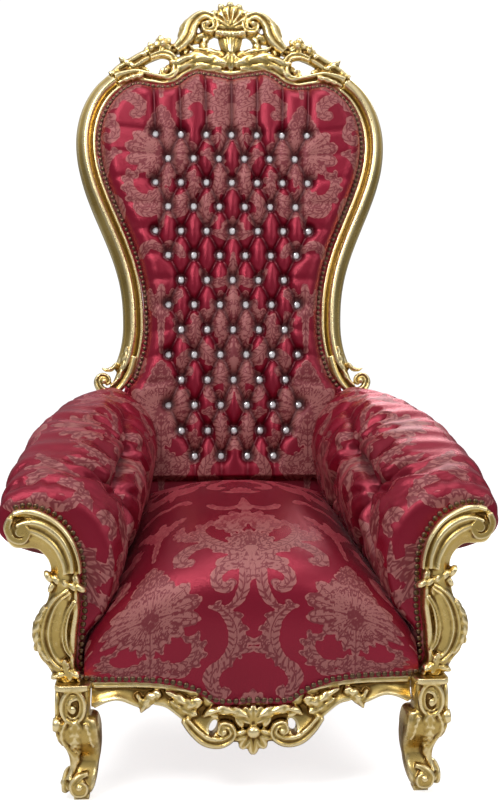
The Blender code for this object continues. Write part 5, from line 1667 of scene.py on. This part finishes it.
set_coordinates(back_pad, on_back(plan[:, 0], plan[:, 1], -lift))
cloth = plan * BACK_CLOTH_SCALE + BACK_CLOTH_START
backward = on_back(0, 0, PAD_BACK + EDGE_DEPTH - 2 * GAP) - on_back(0, 0)
front_count = len(plan)
close_behind(back_pad, tuple(backward))
behind = coordinates(back_pad)[front_count:]
cloth = np.vstack((cloth, behind[:, [0, 2]] * BACK_CLOTH_SCALE + BACK_CLOTH_START))
# The painted shade of the creases and button pits is laid with the cloth; the hidden back of the pad gets none.
lay_damask(back_pad, cloth, np.concatenate((shade[j, i], np.zeros(len(behind)))), 2.0)
hang_on(back_pad, DAMASK, "damask", "back_pad")

# %% [markdown]
# ## Crystal buttons
# Each button is a faceted stone with a silvery foil behind it. One is shaped from a cylinder
# whose top is inset and lifted to a table with eight facets, and the rest are copies of it.

# %% Crystals
def foil_crystal():
    """Foil-backed stone: mirror bright, each facet a little different."""
    material, tree = new_material("foil_crystal")
    facets = cells(tree, node(tree, "TexCoord").outputs["Object"], 420.0)
    colour = mix_colours(tree, facets, (1.0, 1.0, 1.0, 1), (0.80, 0.80, 0.84, 1))
    return set_shader(material, {"Base Color": colour, "Metallic": 0.30, "Roughness": 0.09, "Coat Weight": 0.6})


def one_crystal():
    """A stone with eight facets, looking along +Z."""
    clear_selection()
    bpy.ops.mesh.primitive_cylinder_add(vertices=8, radius=0.0088, depth=0.0036, location=(0, 0, 0.0015))
    stone = bpy.context.object
    bpy.ops.object.mode_set(mode="EDIT")
    bpy.ops.mesh.select_mode(type="FACE")
    bpy.ops.mesh.select_all(action="DESELECT")
    bpy.ops.object.mode_set(mode="OBJECT")
    for polygon in stone.data.polygons:
        polygon.select = polygon.normal.z > 0.9
    bpy.ops.object.mode_set(mode="EDIT")
    bpy.ops.mesh.inset(thickness=0.0022, depth=0.0030)
    bpy.ops.mesh.inset(thickness=0.0020, depth=0.0008)
    bpy.ops.object.mode_set(mode="OBJECT")
    return stone


def copies_at(name, pattern, spots):
    """Copies of a small pattern set on spots of (place, outward direction, turn), as one object."""
    base = coordinates(pattern)
    shape = [list(p.vertices) for p in pattern.data.polygons]
    parts = []
    for place, out, turn in spots:
        basis = np.array(Vector(out).to_track_quat("Z", "Y").to_matrix() @ Matrix.Rotation(turn, 3, "Z"))
        parts.append((base @ basis.T + np.asarray(place), shape))
    bpy.data.objects.remove(pattern)
    return mesh_object(name, parts)


spots = []
for r, (z, xs) in enumerate(button_rows()):
    for x in xs:
        spots.append((on_back(x, z, -PIT_FLOOR - 0.0050), BACK_FACE, 0.4 * r + 17 * x))
crystals = copies_at("crystal_buttons", one_crystal(), spots)
hang_on(crystals, foil_crystal(), None)
crystals.data.shade_flat()
print("buttons:", len(spots))

# %% [markdown]
# ## Padded arms
# An arm is a fat roll over a wall, with two tufts pulled in on its inner side and the cloth
# gathered to the nails at its front. It is lofted from many sections, then pulled in at the
# tufts with folds that fan out from them. A coarser copy is then simulated as cloth that swells
# and wrinkles between the places where it is held, and its movement is given to the fine arm.
# The cloth runs up the inner wall and over the roll.
# Painted shade darkens the cloth round the tufts and along the creases.

# %% Arms
def arm_rear(z):
    """Where the arm upholstery meets the back upholstery."""
    return on_back(0, z, -SIDE_DEPTH - GAP * 2)[..., 1]


def arm_rings():
    """Rings from the middle of the front face, over its rounded rim, to the back upholstery."""
    rim = 0.020
    length = arm_rear(0.5) - ARM_FRONT_Y
    shares = (0.12, 0.3, 0.48, 0.64, 0.78, 0.88)
    rings = [(0.0, share, rim) for share in shares]
    rings += [(rim * (1 - math.cos(turn)) / length, 1.0, rim * (1 - math.sin(turn)))
              for turn in np.linspace(0, math.pi / 2, 7)]
    rings += [(s, 1.0, 0.0) for s in np.linspace(rim / length, 1, 190)[1:]]
    places = []
    for s, share, inset in rings:
        section = flow(arm_section(s), 10)
        middle = section.mean(axis=0)
        away = section - middle
        reach = np.linalg.norm(away, axis=1)[:, None]
        section = middle + away * (1 - inset / np.maximum(reach, 0.02)) * share
        section[:, 1] = np.maximum(section[:, 1], UPHOLSTERY_BOTTOM)
        y = between(ARM_FRONT_Y, arm_rear(section[:, 1]), s)
        places.append(np.stack((section[:, 0], y, section[:, 1]), axis=1))
    return places, len(shares) + 3


def pull_in(places, outwards, tufts):
    """Pulls places in at tufts, with folds that fan out from each; also gives the painted shade round them."""
    moved, painted_fold_shade = np.zeros(len(places)), np.zeros(len(places))
    for spot, depth, folds, phase in tufts:
        off = places - np.asarray(spot)
        far = np.linalg.norm(off, axis=1)
        angle = np.arctan2(off[:, 2], off[:, 1])
        fan = 0.5 + 0.5 * np.cos(angle * folds + phase + 9.0 * far)
        moved -= depth * np.exp(-(far / 0.026) ** 1.3)
        moved -= 0.013 * fan ** 4 * np.exp(-(far / 0.080) ** 1.5) * (1 - np.exp(-(far / 0.014) ** 2))
        # Painted shade round each tuft, darkest at its middle.
        painted_fold_shade = np.maximum(painted_fold_shade, 0.85 * np.exp(-(far / 0.017) ** 2))
    return places + outwards * moved[:, None], painted_fold_shade


def crease(places, start, end, width, depth, sag=0.0):
    """How deep one crease from a start to an end lies at each place, seen from the side."""
    run = np.subtract(end, start)
    off = places[:, 1:] - start
    share = np.clip(off @ run / (run @ run), 0, 1)
    bend = sag * np.sin(math.pi * share)
    side = (off[:, 0] * run[1] - off[:, 1] * run[0]) / np.linalg.norm(run) - bend
    beyond = np.linalg.norm(off - share[:, None] * run, axis=1)
    far = np.hypot(side, np.maximum(beyond - np.abs(side + bend), 0))
    valley = 1.3 * np.exp(-(far / width) ** 1.2) - 0.3 * np.exp(-((far - 1.9 * width) / width) ** 2)
    return depth * valley * np.sin(math.pi * np.clip(share, 0.08, 0.92)) ** 0.5


def smooth_normals(obj, rounds=3):
    """Vertex normals averaged with their neighbours."""
    soft = relaxed(normals(obj), edge_array(obj), rounds)
    return soft / np.maximum(np.linalg.norm(soft, axis=1), 1e-9)[:, None]


def ring_cloth(places):
    """Cloth places of rings: length along the arm and around the section, from the inner foot."""
    grid = np.array(places)
    around = run_length(grid[len(grid) // 2])
    around = around[-1] - around
    steps = np.linalg.norm(np.diff(grid, axis=0), axis=2).mean(axis=1)
    along = np.concatenate(([0], np.cumsum(steps)))
    return np.stack(np.broadcast_arrays(along[:, None], around[None, :]), axis=-1).reshape(-1, 2)


REAR_TUFT = (0.210, -0.035, 0.588)
FRONT_TUFT = (0.246, -0.215, 0.528)
ARM_CREASES = [(REAR_TUFT[1:], *row) for row in (((-0.215, 0.528), 0.010, 0.024, 0.012),
                                                 ((0.060, 0.450), 0.010, 0.014, 0.016),
                                                 ((-0.060, 0.700), 0.009, 0.011, 0.012),
                                                 ((0.100, 0.650), 0.010, 0.013, -0.010),
                                                 ((-0.140, 0.660), 0.008, 0.009, -0.012))]
ARM_CREASES += [(FRONT_TUFT[1:], *row) for row in (((-0.300, 0.380), 0.010, 0.016, -0.014),
                                                   ((-0.150, 0.390), 0.009, 0.012, 0.012),
                                                   ((-0.290, 0.560), 0.008, 0.010, 0.008),
                                                   ((-0.230, 0.620), 0.008, 0.009, -0.010))]
CLOTH_LIMIT = 0.009


def nearest_values(spots, values, wanted, count=4):
    """Values at wanted places, averaged from the nearest spots by distance."""
    tree = KDTree(len(spots))
    for index, spot in enumerate(spots):
        tree.insert(spot, index)
    tree.balance()
    found = np.empty((len(wanted), values.shape[1]))
    for index, place in enumerate(wanted):
        near = tree.find_n(place, count)
        weights = np.array([1 / (far + 1e-6) for _, _, far in near])
        found[index] = (values[[k for _, k, _ in near]] * weights[:, None]).sum(axis=0) / weights.sum()
    return found


def settle(obj, places, held, pressure, slack, frames=20):
    """How the cloth moves as it swells and wrinkles: a coarser copy is simulated and then removed."""
    choose(obj)
    bpy.ops.object.duplicate()
    copy = bpy.context.object
    apply_modifier(copy, "REMESH", mode="VOXEL", voxel_size=0.006)
    start = coordinates(copy)
    weights = nearest_values(places, held[:, None], start, 1)[:, 0].round(1)
    group = copy.vertex_groups.new(name="held")
    for level in np.unique(weights):
        group.add(np.where(weights == level)[0].tolist(), float(level), "REPLACE")
    choose(copy)
    modifier = copy.modifiers.new("Cloth", "CLOTH")
    cloth = modifier.settings
    cloth.quality, cloth.mass, cloth.air_damping = 4, 0.3, 1.0
    cloth.tension_stiffness = cloth.compression_stiffness = 10
    cloth.shear_stiffness, cloth.bending_stiffness = 5, 0.1
    cloth.vertex_group_mass, cloth.pin_stiffness = "held", 4.0
    cloth.use_pressure, cloth.uniform_pressure_force = True, pressure
    cloth.shrink_min = cloth.shrink_max = -slack
    cloth.effector_weights.gravity = 0.0
    modifier.point_cache.frame_start, modifier.point_cache.frame_end = 1, frames
    for frame_number in range(1, frames + 1):
        bpy.context.scene.frame_set(frame_number)
    bpy.ops.object.modifier_apply(modifier=modifier.name)
    bpy.context.scene.frame_set(1)
    moved = coordinates(copy) - start
    bpy.data.objects.remove(copy)
    return nearest_values(start, moved, places)


def arm_upholstery(name, seed):
    """Right arm with its folds and the painted shade in them, laid with damask."""
    rings, cap = arm_rings()
    arm = mesh_object(name, [loft(rings)])
    outward(arm, merge=False)
    places = coordinates(arm)
    tufts = ((REAR_TUFT, 0.040, 5, 0.5), (FRONT_TUFT, 0.036, 5, 2.0))
    out = smooth_normals(arm)
    cloth = ring_cloth(rings)
    rear = arm_rear(places[:, 2])
    share = np.clip((places[:, 1] - ARM_FRONT_Y) / (rear - ARM_FRONT_Y), 0, 1)
    free = np.clip((places[:, 2] - 0.30) / 0.05, 0, 1) * np.clip((places[:, 1] - ARM_FRONT_Y) / 0.03, 0, 1)
    middle = between(ARM_IN_FRONT + ARM_OUT_FRONT, ARM_IN_REAR + ARM_OUT_REAR, share) / 2
    high = between(ARM_TOP_FRONT, ARM_TOP_REAR, share) - 0.065
    full = 0.024 * np.exp(-((places[:, 2] - high) / 0.075) ** 2) * np.clip(share / 0.35, 0, 1)
    full *= np.clip((middle + 0.02 - places[:, 0]) / 0.05, 0, 1) * free
    places = places + out * full[:, None]
    across = 0.0016 * np.sin(cloth[:, 0] * 2 * math.pi / 0.052 + 2.2 * np.sin(cloth[:, 1] * 9 + seed))
    gather = 0.0022 * np.sin(cloth[:, 1] * 2 * math.pi / 0.030) * np.exp(-((places[:, 1] - ARM_FRONT_Y) / 0.035))
    inner = np.clip((middle - places[:, 0]) / 0.03, 0, 1) * free
    soft = (across + wobble(cloth[:, 0], cloth[:, 1], seed, 0.12, 0.0040) - 0.0010) * free
    valleys = sum(crease(places, *row) for row in ARM_CREASES) * inner
    places, painted_fold_shade = pull_in(places + out * (soft - valleys + gather * free)[:, None], out, tufts)
    # Painted shade along the crease valleys, added to that round the tufts; it also helps to hold the cloth.
    painted_fold_shade = np.maximum(painted_fold_shade, np.clip((valleys - 0.006) / 0.018, 0, 0.7))
    set_coordinates(arm, places)
    held = np.maximum(1 - free, np.clip((places[:, 1] - rear + 0.02) / 0.015, 0, 1))
    moved = settle(arm, places, np.maximum(held, painted_fold_shade), 4.0, 0.03)
    length = np.maximum(np.linalg.norm(moved, axis=1), 1e-9)[:, None]
    print("the cloth moved up to", round(float(length.max()) * 1000, 1), "mm")
    places = places + moved * np.minimum(1, CLOTH_LIMIT / length) * free[:, None]
    places[:, 1] = np.clip(places[:, 1], ARM_FRONT_Y, rear)
    places[:, 0] = np.maximum(places[:, 0], ARM_IN_REAR - 0.017)
    set_coordinates(arm, places)
    corners = read(arm.data.loops, "vertex_index", 1, np.int32)
    on_front = np.zeros(len(arm.data.loops), bool)
    count = len(rings[0])
    for polygon in arm.data.polygons:
        if max(polygon.vertices) < (cap + 1) * count:
            on_front[polygon.loop_start:polygon.loop_start + polygon.loop_total] = True
    corner_cloth = cloth[corners]
    flat = places[corners][:, [0, 2]] + (-0.375, 0.05)
    corner_cloth[on_front] = flat[on_front]
    upper = np.clip((places[:, 2] - high + 0.07) / 0.05, 0, 1) * np.clip((share - 0.12) / 0.1, 0, 1)
    lay_damask(arm, corner_cloth, painted_fold_shade, -2.8 * upper[corners])
    return arm


for piece in hang_both(arm_upholstery("arm_upholstery_right", 3), DAMASK, "damask", "arm_pad"):
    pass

# %% [markdown]
# ## Seat
# The seat is sprung and stuffed into a high crown. Its front swells over the rail, and its edge
# is drawn down to the nails. The repeat of the damask is centred on it, with a palmette at the
# crown. The surface runs from the nails up the front, over the crown and back to the buttons.

# %% Seat
SEAT_COLUMNS = 250
SEAT_CLOTH_HALF = 0.285
SEAT_CLOTH_START = 0.088


def seat_rear(z):
    """Where the seat upholstery meets the back upholstery."""
    return on_back(0, z, -SIDE_DEPTH - GAP)[..., 1]


def seat_profile(edge):
    """Front-to-back outline of the seat upholstery, in the middle or along its edge."""
    front, rise, bulge = FRONT_LEG_Y - 0.004, SEAT_CROWN - RAIL_TOP, SEAT_FRONT_BULGE
    depth = seat_rear(SEAT_CROWN) - front
    if edge:
        rows = ((0, 0, 0), (0, 0.2, 0.05), (0, 0.1, 0.1), (0, -0.3, 0.15), (0.06, 0, 0.2), (0.2, 0, 0.3),
                (0.4, 0, 0.45), (0.6, 0, 0.6), (0.78, 0, 0.75), (0.9, 0, 0.85), (0.95, 0, 0.87))
    else:
        rows = ((0, 0.3, 0), (0, 0.8, 0.22), (0, 0.9, 0.42), (0, 0.5, 0.6), (0.05, 0, 0.74), (0.18, 0, 0.84),
                (0.38, 0, 0.92), (0.6, 0, 0.98), (0.8, 0, 1.0), (0.93, 0, 0.96), (0.985, 0, 0.87))
    return flow([(front + depth * share - bulge * out, RAIL_TOP + rise * up) for share, out, up in rows], 19)


def arm_wall(y, z):
    """Inner surface of the arm at each place, as a distance from the middle plane."""
    found = np.empty(len(y))
    for i, (py, pz) in enumerate(zip(y, z)):
        s = min(max((py - ARM_FRONT_Y) / (seat_rear(pz) - ARM_FRONT_Y), 0.0), 1.0)
        inner = arm_section(s)[9:][::-1]
        found[i] = np.interp(pz, inner[:, 1], inner[:, 0])
    return found


def seat_surface():
    """Rings of the seat from the left to the right, with the run of each ring for the cloth."""
    middle, edge = seat_profile(False), seat_profile(True)
    rings = []
    for u in np.linspace(-1, 1, SEAT_COLUMNS):
        blend = (1 - abs(u) ** 2.6) ** 0.8
        y, z = (edge + (middle - edge) * blend).T
        z = np.maximum(z, UPHOLSTERY_BOTTOM)
        s = np.clip((y - ARM_FRONT_Y) / (seat_rear(z) - ARM_FRONT_Y), 0, 1)
        x = u * seat_half_width(s)
        low = rail_top(x[0]) + GAP if abs(x[0]) < LEG_INNER - 0.001 else UPHOLSTERY_BOTTOM
        z[:12] = low + (z[:12] - z[0]) * (z[12] - low) / (z[12] - z[0])
        share = np.clip(1 - (z - z[0]) / 0.020, 0, 1)
        y = y - FRONT_RAIL_BOW * np.cos(math.pi / 2 * np.minimum(np.abs(x) / LEG_INNER, 1)) * np.maximum(share, 0.35)
        y = np.minimum(y, seat_rear(z))
        bottom = [(u * seat_half_width(1.0), seat_rear(h), h) for h in (UPHOLSTERY_BOTTOM + 0.03, UPHOLSTERY_BOTTOM)]
        rings.append(np.vstack((np.stack((x, y, z), axis=1), bottom)))
    return rings


seat_rings = seat_surface()
seat = mesh_object("seat_upholstery", [loft(seat_rings)])
outward(seat)
grid = np.array(seat_rings)
rows = grid.shape[1]
run = run_length(grid[SEAT_COLUMNS // 2])
cloth = np.stack((np.broadcast_to(np.linspace(-1, 1, SEAT_COLUMNS)[:, None] * SEAT_CLOTH_HALF, grid.shape[:2]),
                  np.broadcast_to(run[None, :] + SEAT_CLOTH_START, grid.shape[:2])), axis=-1).reshape(-1, 2)
places = grid.reshape(-1, 3).copy()
front = np.clip((places[:, 2] - 0.215) / 0.03, 0, 1) * np.clip((seat_rear(places[:, 2]) - places[:, 1]) / 0.02, 0, 1)
inset = np.clip((np.abs(cloth[:, 0]) - 0.20) / 0.085, 0, 1)
lines_down = 0.0016 * np.sin(cloth[:, 0] * 2 * math.pi / 0.021 + 1.5 * np.sin(cloth[:, 1] * 14))
gather = lines_down * np.exp(-(cloth[:, 1] - SEAT_CLOTH_START) / 0.022)
lift = (wobble(cloth[:, 0], cloth[:, 1], 9, 0.16, 0.0020) - 0.001) * front * (1 - inset) + gather
places[:, 1] -= lift
limit = np.minimum(arm_wall(places[:, 1], places[:, 2]), 0.2965) - 0.0012
places[:, 0] = np.clip(places[:, 0], -limit, limit)
places[:, 1] = np.minimum(places[:, 1], seat_rear(places[:, 2]))
set_coordinates(seat, places)
lay_damask(seat, cloth, spread=0.3)
hang_on(seat, DAMASK, "damask", "seat_cushion")

# %% [markdown]
# ## Outside back
# The outside of the back is a plain panel of the same damask over thin padding, nailed round
# its edge. It starts as a grid cut to the outline of the frame behind.

# %% Outside back
def panel_line():
    """Right half of the outside panel's outline."""
    line = [(min(x, POST_INNER) - GAP if z < WAIST_Z else x - GAP, z) for x, z in opening_line()]
    line[0] = (POST_INNER - GAP, RAIL_TOP + 0.004)
    return flow(line, 3)


PANEL_LINE = panel_line()
panel, _, _ = outline_grid("outside_back", 0.006, PANEL_LINE)
places = coordinates(panel)
plan = places[:, [0, 2]].copy()
rim = rim_vertices(panel)
plan[rim] = outline_distance(plan[rim], PANEL_LINE)[0]
_, gap, _ = outline_distance(plan, PANEL_LINE)
swell = PANEL_THICKNESS * (0.62 + 0.38 * np.sqrt(1 - (1 - np.clip((gap - 0.009) / 0.05, 0, 1)) ** 2))
swell = np.minimum(swell + wobble(plan[:, 0], plan[:, 1], 12, 0.2, 0.0006), PANEL_THICKNESS)
set_coordinates(panel, on_back(plan[:, 0], plan[:, 1], PAD_BACK + swell))
front_count = len(plan)
close_behind(panel, tuple(on_back(0, 0, GAP - PANEL_THICKNESS * 0.62) - on_back(0, 0)))
cloth = np.vstack((plan, coordinates(panel)[front_count:][:, [0, 2]]))
lay_damask(panel, cloth)
hang_on(panel, DAMASK, "damask", "back_panel")

# %% [markdown]
# ## Upholstery nails
# Round-headed nails of antique bronze, nearly touching, hold every edge of the cloth to the
# wood. One head is half of a low sphere. The others are copies set along the edges at an
# even pitch, each facing out of the cloth.

# %% Nails
NAIL_RADIUS = 0.0053
NAIL_PITCH = 0.0116


def bronze():
    """Dark antique bronze with brighter wear."""
    material, tree = new_material("antique_bronze")
    grain = noise(tree, node(tree, "TexCoord").outputs["Object"], 260.0, 3.0)
    colour = mix_colours(tree, grain, (0.055, 0.030, 0.018, 1), (0.23, 0.145, 0.085, 1))
    return set_shader(material, {"Base Color": colour, "Metallic": 0.95,
                                 "Roughness": ranged(tree, grain, 0.0, 1.0, 0.24, 0.42, "LINEAR")})


def nail_head():
    """The low dome of a nail head, looking along +Z."""
    clear_selection()
    bpy.ops.mesh.primitive_uv_sphere_add(segments=8, ring_count=6, radius=NAIL_RADIUS)
    head = bpy.context.object
    edit_all(head)
    bpy.ops.mesh.bisect(plane_co=(0, 0, 0), plane_no=(0, 0, 1), clear_inner=True, use_fill=True)
    bpy.ops.object.mode_set(mode="OBJECT")
    head.scale = (1, 1, 0.55)
    bpy.ops.object.transform_apply(location=False, rotation=False, scale=True)
    return head


def paced(line):
    """Places at the nails' pitch along a line."""
    line = np.asarray(line, float)
    gone = run_length(line)
    count = max(int(round(gone[-1] / NAIL_PITCH)), 1)
    at = (np.arange(count) + 0.5) * gone[-1] / count
    return np.stack([np.interp(at, gone, line[:, k]) for k in range(line.shape[1])], axis=1)


def nail_spots():
    """Spots of the right half's nails: on the back, arm front, side, seat front and outside back."""
    spots = []
    edge = [p for p in flow(offset_line(opening_line(), -0.0062), 5) if p[1] > ARM_TOP_REAR - 0.012]
    for x, z in paced(edge):
        spots.append((on_back(x, z, -EDGE_DEPTH - 0.0012), BACK_FACE, 0.0))
    post = [post_grid(x, z) for x, z in ((-7, 8), (3, 26), (2, 50), (0, 84), (-4, 119), (-3, 146), (-2, 179), (0, 209),
                                         (11, 243), (33, 275), (63, 295), (95, 304), (122, 299))]
    for x, z in paced(flow(post, 4)):
        spots.append(((x, ARM_FRONT_Y - 0.0004, z), FORWARD, 0.0))
    low = [(rail_outer(s) - 0.002, between(FRONT_LEG_Y + 0.02, 0.150, s)) for s in np.linspace(0, 1, 12)]
    for x, y in paced(low):
        spots.append(((x, y, UPHOLSTERY_BOTTOM + 0.0065), RIGHT, 0.0))
    front = []
    for column in range(SEAT_COLUMNS // 2, SEAT_COLUMNS):
        ring = np.array(seat_rings[column])
        front.append([np.interp(0.0062, run_length(ring), ring[:, k]) for k in range(3)])
    for place in paced(front):
        spots.append((place + FORWARD * 0.0002, FORWARD, 0.0))
    rear = flow(offset_line(PANEL_LINE[2:], -0.0068), 1)
    for x, z in paced(rear):
        spots.append((on_back(x, z, PAD_BACK + PANEL_THICKNESS * 0.62), -BACK_FACE, 0.0))
    return spots


right_nails = nail_spots()
left_nails = [(np.multiply(place, FLIP), np.multiply(out, FLIP), 0.0) for place, out, _ in right_nails]
nails = copies_at("upholstery_nails", nail_head(), right_nails + left_nails)
hang_on(nails, bronze(), None)
print("nails:", 2 * len(right_nails))
